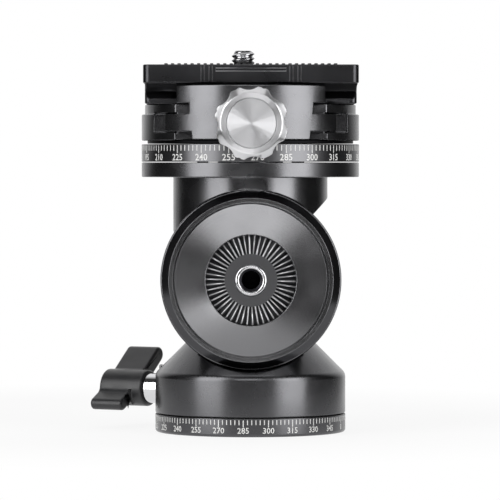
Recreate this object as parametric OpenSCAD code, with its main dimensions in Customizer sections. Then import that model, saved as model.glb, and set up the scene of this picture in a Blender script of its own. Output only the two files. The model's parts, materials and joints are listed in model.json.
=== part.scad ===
// Compact fluid pan and tilt head with a panning quick release clamp.
// Millimetres. The origin is the centre of the base's underside, on the pan axis.
// +Z is up, +X is the direction the arm tilts to, and the toothed handle rosette faces -Y.

/* [Base] */
// Radius of the base and of the turning body
base_r = 26.25; // [25.5:0.25:27]
// Height of the fixed base ring
base_h = 5; // [4.6:0.2:6]
// Gap between the base ring and the turning body
seam = 0.35; // [0.2:0.05:0.6]
// Radius of the tripod thread, 3/8 inch
tripod_thread_r = 4.7625; // [4.7625, 4.7]
// Depth of the tripod thread
tripod_thread_depth = 8.5; // [7:0.5:10]
// Thickness of the rubber base pad
pad_t = 0.8; // [0.5:0.1:1.2]
// Number of screws that hold the spindle in the base
base_screw_count = 4; // [3:1:6]
// Rounding of the base's lower edge
base_edge_r = 0.8; // [0.3:0.1:1.2]

/* [Pan section] */
// Wall of the turning body round the brake drum
body_wall = 3.65; // [3.35:0.05:4]
// Height inside the turning body for the pan bearing and damper
pan_room = 8.85; // [8.6:0.05:9.2]
// Radial gap between neighbouring damper walls
damper_gap = 0.6; // [0.4:0.05:0.8]
// Thickness of a damper wall
damper_wall = 1.4; // [1:0.1:1.6]
// Rounding of the body's shoulder
shoulder_round = 2.5; // [1:0.5:4]

/* [Bearings] */
// Bore radius of the pan and clamp bearings
thin_bearing_in = 7.5; // [7:0.25:7.5]
// Outer radius of the pan and clamp bearings
thin_bearing_out = 10.5; // [10.25:0.25:10.75]
// Bore radius of the tilt bearings
tilt_bearing_in = 6; // [5.75:0.25:6]
// Outer radius of the tilt bearings
tilt_bearing_out = 9; // [8.75:0.25:9.5]
// Width of every bearing
bearing_w = 4; // [3.5:0.25:4]
// Radial clearance of a running fit
run_fit = 0.04; // [0.02:0.01:0.08]

/* [Pan lock] */
// Height of the pan lock's axis above the base's underside
lock_z = 11; // [10.8:0.1:11.2]
// Direction of the pan lock round the pan axis
lock_az = 150; // [145:1:150]
// Distance from the turning body to the wing knob's inner rim
knob_gap = 6.15; // [5.8:0.05:7.6]
// Length of the wing knob
knob_len = 13.7; // [12:0.1:16]
// Radius of the wing knob's barrel
barrel_r = 5.1; // [4.9:0.1:5.6]
// Length of the wings along the knob's axis
wing_w = 10.2; // [8:0.2:11]
// Reach of the long wing from the axis
wing_long = 16.5; // [14:0.5:18]
// Reach of the short wing from the axis
wing_short = 11; // [9:0.5:12]
// Thickness of the long wing
wing_t = 4.3; // [3.6:0.1:4.8]
// Thickness of the short wing
short_wing_t = 3.4; // [3:0.1:4]
// Angle of the long wing from straight up
long_wing_tilt = 52; // [48:1:60]
// Angle of the short wing from straight down
short_wing_tilt = 63; // [55:1:70]
// Radius of the chrome lock bush
bush_r = 4.2; // [4:0.1:4.3]
// Radius of the pan and tilt lock screws
lock_screw_r = 2.5; // [2:0.25:2.5]

/* [Spirit level] */
// Outer radius of the level's cup
level_r = 5.2; // [4.8:0.1:5.3]
// Wall left outside the level's well
level_wall = 0.35; // [0.3:0.05:0.6]
// Direction of the level round the pan axis
level_az = 166; // [164:1:172]
// Height of the level's rim above the base's underside
level_top = 18.1; // [17.8:0.1:19]

/* [Tilt section] */
// Height of the tilt axis above the base's underside
tilt_h = 42.4; // [42:0.2:45]
// Radius of the two cheek discs of the arm
cheek_r = 24.6; // [24.4:0.1:25]
// Thickness of a cheek
cheek_t = 6; // [5.8:0.1:6.4]
// Width of the column between the cheeks
column_w = 29.4; // [29:0.2:30]
// Radius of the column round the tilt axis
column_r = 23.4; // [23:0.1:23.5]
// Gap between the column and the arm
side_gap = 0.3; // [0.2:0.05:0.4]
// Radius of the damper chamber in the column
chamber_r = 17.6; // [17:0.2:18]
// Number of rotor discs in the tilt damper
rotor_count = 4; // [2:1:4]
// Thickness of the rotor and stator plates
plate_t = 1.2; // [0.8:0.1:1.3]

/* [Front cover and handle rosette] */
// How far the cover's ridge stands in front of the cheek
cover_t = 2; // [1.6:0.1:2.4]
// Outer radius of the cover's ridge
ridge_r = 22.3; // [21.9:0.1:22.6]
// Width of the ridge
ridge_w = 1.1; // [0.8:0.1:1.4]
// Width of the groove inside the ridge
groove_w = 0.5; // [0.3:0.1:0.8]
// Slope of the cover's face in degrees
face_slope = 9.3; // [5:0.1:12]
// Radius where the face meets the rosette's chamfer
face_inner_r = 13.5; // [13.3:0.1:14]
// Outer radius of the toothed rosette
rosette_r = 12.1; // [11.8:0.1:12.2]
// Inner radius of the teeth
teeth_inner_r = 7.15; // [6.9:0.05:7.4]
// Number of teeth
tooth_count = 25; // [20:1:30]
// Height of the tooth crests in front of the cheek
rosette_h = 2.3; // [2:0.1:2.4]
// Outer radius of the steel handle insert
insert_r = 4.45; // [4.2:0.05:4.5]
// Radius of the handle thread, M6
handle_thread_r = 3; // [3, 2.5]
// Depth of the handle thread
handle_thread_depth = 9; // [7:0.5:10]

/* [Arm] */
// Radius of the neck
neck_r = 21.3; // [20.8:0.1:21.6]
// Angle of the neck's flat on the +X side, from straight up
neck_angle_front = 44; // [40:1:44]
// Angle of the neck's flat on the -X side, from straight up
neck_angle_back = 59; // [56:1:59]
// Radius of the flange, scale ring and clamp
top_r = 30; // [29.4:0.2:30.2]
// Height of the flange's underside above the tilt axis
flange_u = 27.9; // [27.8:0.1:29]
// Thickness of the flange
flange_t = 4; // [3.8:0.1:4.6]
// Height of the top scale ring
top_ring_h = 4.8; // [4.7:0.1:5.4]
// Seam under the top scale ring
top_seam = 0.2; // [0.1:0.05:0.4]

/* [Panning clamp] */
// Gap between the scale ring and the clamp
clamp_gap = 1; // [0.9:0.05:1.2]
// Height of the clamp's full-radius band
clamp_band_h = 7.2; // [7:0.1:7.6]
// Height of the clamp's floor above its band
floor_rise = 2.7; // [2.5:0.1:3]
// Step inwards from the clamp's band to its upper part
clamp_step = 0.9; // [0.7:0.1:1.4]
// Half width of the jaws
jaw_half_w = 20.2; // [19.5:0.1:20.6]
// Half width of the jaw's lower part
jaw_lower_half_w = 16; // [15:0.2:17]
// Half width of the jaw between its band and its lip
jaw_upper_half_w = 16.8; // [16:0.2:18]
// Half width of the jaw's side wings
jaw_wing_half_w = 23.4; // [22.8:0.1:24]
// Height of the jaws' lips above the clamp's floor
jaw_lip_h = 5; // [4.8:0.1:5.1]
// How far the movable jaw opens
jaw_travel = 4; // [3:0.5:4]
// Radius of the clamp knob over its lobes
clamp_knob_r = 9.8; // [9:0.1:9.9]
// Length of the clamp knob
clamp_knob_len = 9; // [7:0.5:12]
// Number of lobes on the clamp knob
lobe_count = 8; // [6:1:9]
// Radius of the clamping screw
clamp_screw_r = 2.5; // [2:0.25:2.5]

/* [Quick release plate] */
// Distance from the clamp's edge in to the plate's ends
plate_end_in = 0.8; // [-1:0.05:1.2]
// Width of the plate along Y
plate_w = 50; // [46:1:52]
// Thickness of the plate's slab
slab_t = 5; // [4.6:0.1:6]
// Width of the dovetail at its lips
dovetail_w = 38; // [37.6:0.1:38.2]
// Height of the dovetail's upright edge
lip_edge = 1.3; // [1:0.1:1.5]
// Height of the dovetail's 45 degree slope
lip_slope = 2.1; // [1.8:0.1:2.3]
// Height of the dovetail from its underside to the slab
dovetail_h = 5.5; // [5.4:0.1:6]
// Pitch of the rubber ridges
ridge_pitch = 1.77; // [1.5:0.01:2.2]
// Height of the rubber ridges above the slab
ridge_h = 0.4; // [0.2:0.1:0.8]
// Length of the ridged area
ridge_area = 49; // [44:1:52]
// Radius of the camera screw, 1/4 inch
camera_screw_r = 3.175; // [3.175, 3.1]
// How far the camera screw stands above the pad
camera_screw_out = 3.9; // [3.6:0.1:5.5]
// Place of the camera screw along X
camera_screw_x = -2; // [-6:0.5:6]
// Half of the camera slot's length, to the end arcs' centres
slot_half = 13; // [11:0.5:13]

/* [Rear knobs] */
// Radius of the tilt lock knob over its lobes
tilt_knob_r = 14; // [12:0.5:16]
// Length of the tilt lock knob
tilt_knob_len = 11; // [9:0.5:14]
// Gap between the arm's neck and the clamp's pan lock knob
top_knob_gap = 0.3; // [0.2:0.1:1.5]
// Length of the clamp's pan lock screw knob
top_knob_len = 2.6; // [2.2:0.1:2.7]

/* [Hidden] */
$fn = 96;
eps = 0.01;
loose = 0.05;

// Screws
screw_r = 1.5;
screw_head_r = 2.8;
tall_head_h = 2.4;
small_screw_r = 1.25;
small_head_r = 2.2;
small_head_h = 1.6;
drive_r = 0.8;
drive_depth = 0.7;

// Pan section, as heights above the base's underside
body_z = base_h + seam;
ceiling_z = body_z + pan_room;
cavity_r = base_r - body_wall;
drum_r = cavity_r - damper_gap;
cup_floor_t = 1.2;
cup_floor_z = base_h + cup_floor_t;
bearing_z = cup_floor_z + 0.4;
bearing_top = bearing_z + bearing_w;
spindle_flange_r = 14.5;
spindle_flange_t = 2;
spigot_r = 8;
shoulder_r = thin_bearing_in + 1.1;
base_screw_reach = 11.4;
nut_h = 2;
nut_r = thin_bearing_in + 1.5;
post_top = bearing_top + nut_h + 0.2;
hub_r = thin_bearing_out + 1.7;
rotor_plate_z = ceiling_z - 2.4;
cup_wall_in = drum_r - damper_wall - 0.6;
sleeve_out = cup_wall_in - damper_gap;
sleeve_in = sleeve_out - damper_wall;
inner_wall_out = sleeve_in - damper_gap;
inner_wall_in = inner_wall_out - damper_wall;
cup_top_z = ceiling_z - 0.6;
inner_wall_top = rotor_plate_z - damper_gap;
pad_in = 16.5;
pad_out = base_r - 2.2;
seal_in = cavity_r + 0.9;
seal_out = seal_in + 1.1;
seal_depth = 0.6;
rotor_rim = 0.4;
rotor_screw_reach = sleeve_out - rotor_rim - small_screw_r - loose;
rotor_screw_x = 5;
rotor_screw_y = sqrt(pow(rotor_screw_reach, 2) - pow(rotor_screw_x, 2));
rotor_seat_t = 1.4;
rotor_screw_head_z = ceiling_z + rotor_seat_t;

// Pan lock, as distances from the pan axis
knob_start = base_r + knob_gap;
knob_play = 0.1;
knob_cap_t = 3;
bush_depth = 1.2;
bush_start = base_r - bush_depth;
lock_bore_run = 5;
bush_end = knob_start - knob_play;
shoe_r = 3.2;
shoe_gap = 0.1;
shoe_room = 0.6;
shoe_start = drum_r + shoe_gap;
shoe_end = bush_start - shoe_room;
wing_start = knob_start + knob_len - wing_w;
wing_fillet = 2.6;

// Spirit level
level_cup_t = 0.8;
level_reach = base_r - level_r - level_wall;
level_bottom = ceiling_z + 0.8;
level_well_top = tilt_h - level_reach + level_r + 0.2;

// Body shell
shoulder_z = tilt_h - base_r;
cone_top_r = 13;
cheek_in = column_w / 2 + side_gap;
cheek_out = cheek_in + cheek_t;
pocket_r = cheek_r + 0.35;
pocket_low_z = tilt_h - pocket_r + 1.5;

// Tilt section, as distances along Y from the pan axis
rear_wall_t = 5.2;
rear_wall = column_w / 2 - rear_wall_t;
rear_seat = rear_wall - bearing_w;
rear_cover_t = 2.2;
rear_cover_out = cheek_out + rear_cover_t;
rear_screw_reach = 18;
cover_screw_len = 5.5;
cover_hole_depth = 4;
cap_t = 4;
cap_in = column_w / 2 - cap_t;
cap_face_t = 1;
cap_seat = column_w / 2 - cap_face_t;
front_bearing_in = cap_seat - bearing_w;
cap_flange_r = column_r - 1.6;
cap_flange_t = 1.6;
cap_screw_count = 6;
cap_screw_reach = (chamber_r + cap_flange_r) / 2;
cap_screw_r = 1;
cap_screw_head_r = 1.9;
cap_screw_len = 4.8;
trunnion_r = 9;
trunnion_end = cheek_out + 0.6;
trunnion_screw_reach = 6.3;
nose_r = 3.9;
axle_flange_r = 13;
axle_flange_t = 3.5;
axle_end = rear_wall + 1.1;
clip_pocket_r = 7.6;
clip_pocket_end = rear_wall + 1.4;
clip_z = rear_wall + loose;
clip_t = 0.8;
clip_in = tilt_bearing_in - 0.8;
disc_r = chamber_r - 1.3;
collar_r = tilt_bearing_in + 2.3;
stack_len = front_bearing_in + rear_seat;
disc_pitch = stack_len / rotor_count;
stator_in = collar_r + 0.7;
stator_wall = 0.9;

// Front cover, as heights in front of the cheek
bevel_r = ridge_r + 1.9;
face_r = ridge_r - ridge_w - groove_w;
face_edge_h = cover_t - 0.6;
groove_floor_h = cover_t - 1.2;
face_h = face_edge_h + (face_r - face_inner_r) * tan(face_slope);
chamfer_h = 0.7;
hub_h = rosette_h - 0.3;
crest_w = 0.4;
root_w = 0.25;
teeth_depth = 1.2;
tooth_turn = 5.8;

// Arm
hollow_r = column_r + side_gap;
flange_top = flange_u + flange_t;
cheek_edge = 0.25;
nut_pocket_r = nut_r + 1.5;
nut_pocket_h = 3;
nut_pocket_u = flange_top - nut_pocket_h;
ring_screw_depth = 3.6;
ring_screw_len = 4.8;

// Top ring and clamp, as heights above the tilt axis
ring_u = flange_top + top_seam;
ring_top = ring_u + top_ring_h;
ring_wall_t = 5.4;
ring_wall_in = top_r - ring_wall_t;
ring_floor_t = 1.5;
clamp_upper_r = top_r - clamp_step;
clamp_u = ring_top + clamp_gap;
band_top = clamp_u + clamp_band_h;
floor_u = band_top + floor_rise;
top_bearing_u = ring_top - bearing_w - 0.3;
top_hub_r = thin_bearing_out + 2;
ring_screw_reach = (top_hub_r + ring_wall_in) / 2;
spindle_nut_rise = 0.7;
spindle_nut_gap = 0.15;
spindle_disc_r = top_r - 1.6;
spindle_disc_u = ring_top + 0.2;
spindle_boss_r = 14;
spindle_boss_h = 2;
spindle_boss_top = clamp_u + spindle_boss_h;
top_bush_wall = 0.4;
top_bush_r = 2.4;
top_lock_y = top_r - top_bush_wall - top_bush_r;
top_shoe_r = 1.4;
top_shoe_end = spindle_disc_u - shoe_gap;
top_shoe_start = ring_u + 0.6;
top_screw_r = top_shoe_r - 0.1;
top_screw_top = top_shoe_start - loose;
top_knob_r = top_lock_y - neck_r - top_knob_gap;
top_knob_top = flange_u - 0.5;
top_knob_cap_t = 1;
spindle_screw_reach = 10.5;
spindle_head_drop = 4;
spindle_head_u = floor_u - spindle_head_drop;

// Jaws, as distances along Y from the pan axis
slide_gap = 0.1;
jaw_neck_w = 1.18;
jaw_in = sqrt(pow(top_r, 2) - pow(jaw_half_w, 2)) - jaw_neck_w;
front_wall = jaw_in - 0.3;
lip_reach = dovetail_w / 2 - lip_slope + 0.3;
jaw_lip_top = floor_u + jaw_lip_h;
jaw_neck_top = floor_u + 0.2;
wing_rise = 2.4;
wing_floor = clamp_u + wing_rise;
wing_top = band_top;
wing_gap = 0.2;
wing_room = 2.9;
pocket_floor = wing_floor - wing_gap;
pocket_top = wing_top + wing_gap;
wing_depth = 8.5;
wing_back = jaw_in - wing_depth;
jaw_screw_drop = 5.4;
jaw_screw_u = floor_u - jaw_screw_drop;
pin_in = 4;
pin_x = jaw_lower_half_w - pin_in;
pin_r = 1.6;
pin_rise = 5.2;
pin_u = clamp_u + pin_rise;
pin_cover = 0.35;
pin_end = sqrt(pow(top_r, 2) - pow(pin_x + pin_r, 2)) - pin_cover;
spring_out = 2.5;
spring_in = 1.85;
spring_len = 6.8;
spring_start = jaw_in - spring_len;
pin_start = spring_start - 3.6;
clamp_knob_start = top_r + 0.4;
clamp_screw_hold = 7.5;
clamp_screw_end = jaw_in - jaw_travel - clamp_screw_hold;

// Plate
plate_len = 2 * (top_r - plate_end_in);
plate_u = floor_u + slide_gap;
slab_u = plate_u + dovetail_h;
slab_top = slab_u + slab_t;
pad_depth = 0.8;
pad_edge = 4;
pad_w = plate_w - 2 * pad_edge;
slot_r = camera_screw_r + 0.25;
slot_rim = 1.6;
under_slot_w = 15.2;
retainer_half = 7.3;
under_slot_half = slot_half + retainer_half + 0.2;
under_slot_top = slab_u + 0.2;
retainer_t = 0.7;
retainer_u = under_slot_top - retainer_t - 0.1;
screw_disc_r = 6.8;
screw_disc_t = 3.4;
screw_neck_r = 2.5;
screw_thread_u = slab_top + ridge_h;
screw_slot_w = 1.6;
screw_slot_depth = 1.2;
stop_x = under_slot_half + 2.1;
stop_r = 1.5;
stop_drop = 1.2;
stop_slot_half = clamp_upper_r - 1.2;
stop_slot_depth = stop_drop + 0.4;
stop_slot_w = 5;
stop_screw_r = 1.2;
stop_screw_len = 2.8;
side_groove_half = 9.5;
side_groove_h = 0.8;
side_groove_depth = 0.4;
side_groove_u = slab_top - 1.8;
side_notch_x = [10.9, 13.1];
side_notch_w = 0.9;
plate_corner = 2;
dovetail_end_in = 0.4;
dovetail_corner = 1.5;

// Rear brake, as distances along Y from the pan axis
brake_gap = 0.1;
brake_disc_t = 1.4;
brake_disc_rim = 0.5;
brake_disc_r = axle_flange_r + brake_disc_rim;
brake_disc_in = rear_cover_out + brake_gap;
brake_disc_out = brake_disc_in + brake_disc_t;
tilt_knob_start = brake_disc_out + knob_play;

// Shared shapes

// A ring round the Z axis between two heights
module ring(r_in, r_out, z0, z1) {
  translate([0, 0, z0]) difference() {
    cylinder(r = r_out, h = z1 - z0);
    translate([0, 0, -eps]) cylinder(r = r_in, h = z1 - z0 + 2 * eps);
  }
}

// A round bar round the Z axis between two heights
module bar(r, z0, z1) {
  translate([0, 0, z0]) cylinder(r = r, h = z1 - z0);
}

// Turns a shape drawn upwards so that up becomes -Y, the front
module to_front() { rotate([90, 0, 0]) children(); }

// Turns a shape drawn upwards so that up becomes +Y, the rear
module to_rear() { rotate([-90, 0, 0]) children(); }

// Turns a shape drawn upwards so that up points out from the Z axis in a direction
module to_side(direction, height) {
  translate([0, 0, height]) rotate([0, 0, direction]) rotate([0, 90, 0]) children();
}

// Places a shape in the tilting arm, whose heights count from the tilt axis
module on_tilt_axis() { translate([0, 0, tilt_h]) children(); }

// Copies of a shape round the Z axis
module around(count, reach, start = 0) {
  for (i = [0 : count - 1]) rotate([0, 0, start + i * 360 / count]) translate([reach, 0, 0]) children();
}

// A countersunk screw whose head's top is at height zero and whose shank points down
module flat_screw(length, shank = screw_r, head = screw_head_r) {
  difference() {
    union() {
      translate([0, 0, -(head - shank)]) cylinder(r1 = shank, r2 = head, h = head - shank);
      bar(shank, -length, 0);
    }
    bar(drive_r, -drive_depth, eps);
  }
}

// The hole that a countersunk screw sits in
module flat_screw_hole(length, shank = screw_r, head = screw_head_r) {
  translate([0, 0, -(head - shank)]) cylinder(r1 = shank + loose, r2 = head + loose, h = head - shank + eps);
  bar(shank + loose, -length, eps);
}

// A cap screw whose head stands up from height zero and whose shank points down
module cap_screw(length, shank = small_screw_r, head = small_head_r, head_h = small_head_h) {
  difference() {
    union() {
      bar(head, 0, head_h);
      bar(shank, -length, eps);
    }
    bar(drive_r, head_h - drive_depth, head_h + eps);
  }
}

// A round knob with scalloped lobes, its inner face at height zero
module lobed_knob(outer_r, length, lobes, turn) {
  scallop_r = outer_r * 0.42;
  scallop_reach = outer_r * 1.33;
  rim_r = outer_r * 0.84;
  disc_rim_r = outer_r * 0.665;
  chamfer = outer_r - rim_r;
  difference() {
    union() {
      bar(outer_r, 0, length - chamfer);
      translate([0, 0, length - chamfer - eps]) cylinder(r1 = outer_r, r2 = rim_r, h = chamfer);
    }
    around(lobes, scallop_reach, turn) bar(scallop_r, -eps, length + eps);
    ring(disc_rim_r, disc_rim_r + 0.3, length - 0.5, length + eps);
  }
}

// Base and pan section

module base_ring() {
  color("dimgray") difference() {
    rotate_extrude() difference() {
      union() {
        square([base_r - base_edge_r, base_h]);
        translate([0, base_edge_r]) square([base_r, base_h - base_edge_r]);
        translate([base_r - base_edge_r, base_edge_r]) circle(base_edge_r);
      }
      translate([0, -eps]) square([spigot_r + loose, base_h + 1]);
      translate([0, base_h - spindle_flange_t]) square([spindle_flange_r + loose, spindle_flange_t + eps]);
      translate([pad_in, -base_edge_r]) square([pad_out - pad_in, pad_t + base_edge_r]);
      translate([seal_in, base_h - seal_depth]) square([seal_out - seal_in, seal_depth + eps]);
    }
    around(base_screw_count, base_screw_reach, 45) bar(screw_r + loose, pad_t + 0.4, base_h);
  }
}

module base_pad() {
  color("black") ring(pad_in + loose, pad_out - loose, 0, pad_t);
}

module pan_spindle() {
  color("silver") difference() {
    union() {
      bar(spigot_r, 0, base_h);
      bar(spindle_flange_r, base_h - spindle_flange_t, base_h);
      bar(shoulder_r, base_h - eps, bearing_z);
      bar(thin_bearing_in, bearing_z - eps, post_top);
    }
    bar(tripod_thread_r, -eps, tripod_thread_depth);
    around(base_screw_count, base_screw_reach, 45) bar(screw_r + loose, 0, base_h + eps);
  }
}

module pan_drum() {
  color("gray") difference() {
    union() {
      ring(shoulder_r + loose, drum_r, base_h, cup_floor_z);
      ring(cup_wall_in, drum_r, cup_floor_z - eps, cup_top_z);
      ring(inner_wall_in, inner_wall_out, cup_floor_z - eps, inner_wall_top);
    }
    around(base_screw_count, base_screw_reach, 45) translate([0, 0, cup_floor_z])
      flat_screw_hole(cup_floor_t + eps, screw_r, screw_r + cup_floor_t);
  }
}

module base_screws() {
  color("silver") around(base_screw_count, base_screw_reach, 45)
    translate([0, 0, cup_floor_z]) flat_screw(cup_floor_z - pad_t - 0.6, screw_r, screw_r + cup_floor_t);
}

module pan_bearing() {
  color("silver") ring(thin_bearing_in, thin_bearing_out, bearing_z, bearing_top);
}

module pan_nut() {
  color("gray") ring(thin_bearing_in, nut_r, bearing_top, bearing_top + nut_h);
}

module pan_seal() {
  color("black") ring(seal_in, seal_out, base_h - seal_depth, base_h + seam / 2);
}

// Turning body

module housing_profile() {
  cut = shoulder_round * tan(22.5);
  difference() {
    polygon([[0, body_z], [base_r, body_z], [base_r, shoulder_z], [cone_top_r, tilt_h - cone_top_r],
      [0, tilt_h - cone_top_r]]);
    polygon([[base_r + eps, shoulder_z - cut], [base_r, shoulder_z - cut],
      [base_r - cut * cos(45), shoulder_z + cut * cos(45)], [base_r + eps, shoulder_z + cut]]);
  }
  translate([base_r - shoulder_round, shoulder_z - cut]) circle(shoulder_round);
}

module body_housing() {
  color("#2b2b2d") difference() {
    union() {
      rotate_extrude() housing_profile();
      on_tilt_axis() to_rear() bar(column_r, -column_w / 2, column_w / 2);
    }
    bar(cavity_r, body_z - eps, ceiling_z);
    on_tilt_axis() {
      to_front() bar(pocket_r, column_w / 2, base_r + 2);
      to_rear() bar(pocket_r, column_w / 2, base_r + 2);
      to_front() bar(chamber_r, -rear_seat, column_w / 2 + eps);
      to_rear() bar(tilt_bearing_out, rear_seat - eps, rear_wall);
      to_rear() bar(clip_pocket_r, rear_wall - eps, clip_pocket_end);
      to_rear() around(3, trunnion_screw_reach, 90)
        bar(small_screw_r + loose, clip_pocket_end + 0.4, column_w / 2 + eps);
      to_front() bar(cap_flange_r, column_w / 2 - cap_flange_t, column_w / 2 + eps);
      around_cap_screws() bar(cap_screw_r + loose, -cap_screw_len - 0.2, 0);
    }
    for (side = [-1, 1]) for (x = [-rotor_screw_x, rotor_screw_x]) translate([x, side * rotor_screw_y, 0]) {
      bar(small_screw_r + loose, ceiling_z - eps, pocket_low_z);
      bar(small_head_r + loose, rotor_screw_head_z, pocket_low_z);
    }
    to_side(lock_az, lock_z) {
      bar(shoe_r + run_fit, drum_r - 1, bush_start + eps);
      bar(bush_r, bush_start, base_r + lock_bore_run);
    }
    level_place() bar(level_r, level_bottom, level_well_top);
  }
}

// The end cap's screws go through its flange into the rim round the chamber's mouth
module around_cap_screws() {
  to_front() around(cap_screw_count, cap_screw_reach, 180 / cap_screw_count)
    translate([0, 0, column_w / 2]) children();
}

module level_place() {
  rotate([0, 0, level_az]) translate([level_reach, 0, 0]) children();
}

module pan_rotor() {
  color("gray") difference() {
    union() {
      ring(nut_r + 0.4, sleeve_out, rotor_plate_z, ceiling_z);
      ring(nut_r + 0.4, hub_r, bearing_top + loose, rotor_plate_z + eps);
      ring(sleeve_in, sleeve_out, cup_floor_z + damper_gap, rotor_plate_z + eps);
      ring(thin_bearing_out + run_fit, hub_r, bearing_z + 0.3, rotor_plate_z + eps);
    }
    for (side = [-1, 1]) for (x = [-rotor_screw_x, rotor_screw_x]) translate([x, side * rotor_screw_y, 0])
      bar(small_screw_r + loose, rotor_plate_z - eps, ceiling_z + eps);
  }
}

module rotor_screws() {
  color("silver") for (side = [-1, 1]) for (x = [-rotor_screw_x, rotor_screw_x])
    translate([x, side * rotor_screw_y, rotor_screw_head_z]) cap_screw(rotor_screw_head_z - rotor_plate_z);
}

module pan_lock_bush() {
  color("gainsboro") to_side(lock_az, lock_z) ring(lock_screw_r + run_fit, bush_r, bush_start, bush_end);
}

module level_cup() {
  color("silver") level_place() {
    ring(level_r - level_cup_t, level_r, level_bottom, level_top);
    bar(level_r, level_bottom, level_bottom + level_cup_t);
  }
}

module level_vial() {
  color("palegreen") level_place()
    bar(level_r - level_cup_t - loose, level_bottom + level_cup_t, level_top - 0.1);
}

module column_cap() {
  color("gray") on_tilt_axis() difference() {
    to_front() {
      bar(chamber_r - loose, cap_in, column_w / 2);
      bar(cap_flange_r - loose, column_w / 2 - cap_flange_t, column_w / 2);
    }
    around_cap_screws() flat_screw_hole(cap_flange_t + eps, cap_screw_r, cap_screw_head_r);
    to_front() bar(tilt_bearing_out, cap_in - eps, cap_seat);
    to_front() bar(tilt_bearing_in + 1, cap_seat - eps, column_w / 2 + eps);
  }
}

module cap_screws() {
  color("silver") on_tilt_axis() around_cap_screws() flat_screw(cap_screw_len, cap_screw_r, cap_screw_head_r);
}

module tilt_bearings() {
  color("silver") on_tilt_axis() {
    to_front() ring(tilt_bearing_in + run_fit, tilt_bearing_out, front_bearing_in, cap_seat);
    to_rear() ring(tilt_bearing_in + run_fit, tilt_bearing_out, rear_seat, rear_wall);
  }
}

// Fixed plates between the rotor discs, each with its own spacer rim
module stator_plates() {
  color("gray") on_tilt_axis() to_front() for (i = [1 : rotor_count - 1]) {
    middle = -rear_seat + i * disc_pitch;
    half_pitch = disc_pitch / 2 - loose;
    ring(stator_in, chamber_r - loose, middle - plate_t / 2, middle + plate_t / 2);
    ring(chamber_r - stator_wall, chamber_r - loose, middle - half_pitch, middle + half_pitch);
  }
}

// The rear trunnion carries the arm's bush, and its nose carries the brake disc
module rear_trunnion() {
  color("silver") on_tilt_axis() to_rear() difference() {
    union() {
      bar(trunnion_r, column_w / 2, trunnion_end);
      bar(nose_r, trunnion_end - eps, brake_disc_out - 0.2);
    }
    bar(lock_screw_r + run_fit, column_w / 2 - eps, brake_disc_out);
    around(3, trunnion_screw_reach, 90) translate([0, 0, trunnion_end])
      flat_screw_hole(trunnion_end - column_w / 2 + eps, small_screw_r, small_head_r);
  }
}

module trunnion_screws() {
  color("dimgray") on_tilt_axis() to_rear() around(3, trunnion_screw_reach, 90)
    translate([0, 0, trunnion_end])
      flat_screw(trunnion_end - clip_pocket_end - 0.6, small_screw_r, small_head_r);
}

// Pan lock

module pan_brake_shoe() {
  color("darkgoldenrod") to_side(lock_az, lock_z) bar(shoe_r, shoe_start, shoe_end);
}

// A concave fillet between a round barrel and a bar's upper edge
module root_fillet(barrel, edge, fillet) {
  reach = sqrt(pow(barrel + fillet, 2) - pow(edge + fillet, 2));
  difference() {
    polygon([[0, 0], [reach, 0], [reach, edge + fillet]]);
    translate([reach, edge + fillet]) circle(fillet + 2 * eps);
  }
}

module wing(reach, thickness) {
  translate([0, -thickness / 2]) square([reach - thickness / 2, thickness]);
  translate([reach - thickness / 2, 0]) circle(thickness / 2);
  root_fillet(barrel_r, thickness / 2, wing_fillet);
  mirror([0, 1]) root_fillet(barrel_r, thickness / 2, wing_fillet);
}

module pan_lock_knob() {
  color("#1c1c1e") to_side(lock_az, lock_z) difference() {
    union() {
      bar(barrel_r, knob_start, wing_start + eps);
      translate([0, 0, wing_start]) linear_extrude(wing_w) {
        circle(barrel_r);
        rotate(180 + long_wing_tilt) wing(wing_long, wing_t);
        rotate(short_wing_tilt) wing(wing_short, short_wing_t);
      }
    }
    bar(lock_screw_r, knob_start - eps, knob_start + knob_len - knob_cap_t);
  }
}

module pan_lock_screw() {
  color("silver") to_side(lock_az, lock_z)
    bar(lock_screw_r, shoe_end + loose, knob_start + knob_len - knob_cap_t);
}

// Tilting arm

// The sector between the neck's two flats, seen from the front
module neck_sector() {
  far = 60;
  polygon([[0, 0], [far * sin(neck_angle_front), far * cos(neck_angle_front)], [0, far * 1.4],
    [-far * sin(neck_angle_back), far * cos(neck_angle_back)]]);
}

module tilt_arm() {
  color("#3a3a3c") on_tilt_axis() difference() {
    union() {
      for (side = [-1, 1]) scale([1, side, 1]) to_rear() {
        bar(cheek_r, cheek_in, cheek_out - cheek_edge);
        translate([0, 0, cheek_out - cheek_edge - eps])
          cylinder(r1 = cheek_r, r2 = cheek_r - cheek_edge, h = cheek_edge + eps);
      }
      intersection() {
        bar(neck_r, 0, flange_u + 1);
        translate([0, neck_r + 1, 0]) rotate([90, 0, 0]) linear_extrude(2 * neck_r + 2) neck_sector();
      }
      bar(top_r, flange_u, flange_top);
    }
    to_rear() bar(hollow_r, -cheek_in, cheek_in);
    to_rear() bar(cheek_r, cheek_out, neck_r + 1);
    to_front() bar(cheek_r, cheek_out, neck_r + 1);
    to_front() bar(axle_flange_r, cheek_out - axle_flange_t, cheek_out + eps);
    to_front() bar(tilt_bearing_in + 1.2, cheek_in - eps, cheek_out);
    to_rear() bar(axle_flange_r, cheek_in - eps, cheek_out + eps);
    bar(nut_pocket_r, nut_pocket_u, flange_top + eps);
    around(4, ring_screw_reach, 45) bar(screw_r + loose, flange_top - ring_screw_depth, flange_top + eps);
    top_lock_place() bar(top_bush_r, flange_u - eps, flange_top + eps);
    to_rear() around(4, rear_screw_reach, 45)
      bar(small_screw_r + loose, cheek_out - cover_hole_depth, cheek_out + eps);
  }
}

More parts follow.
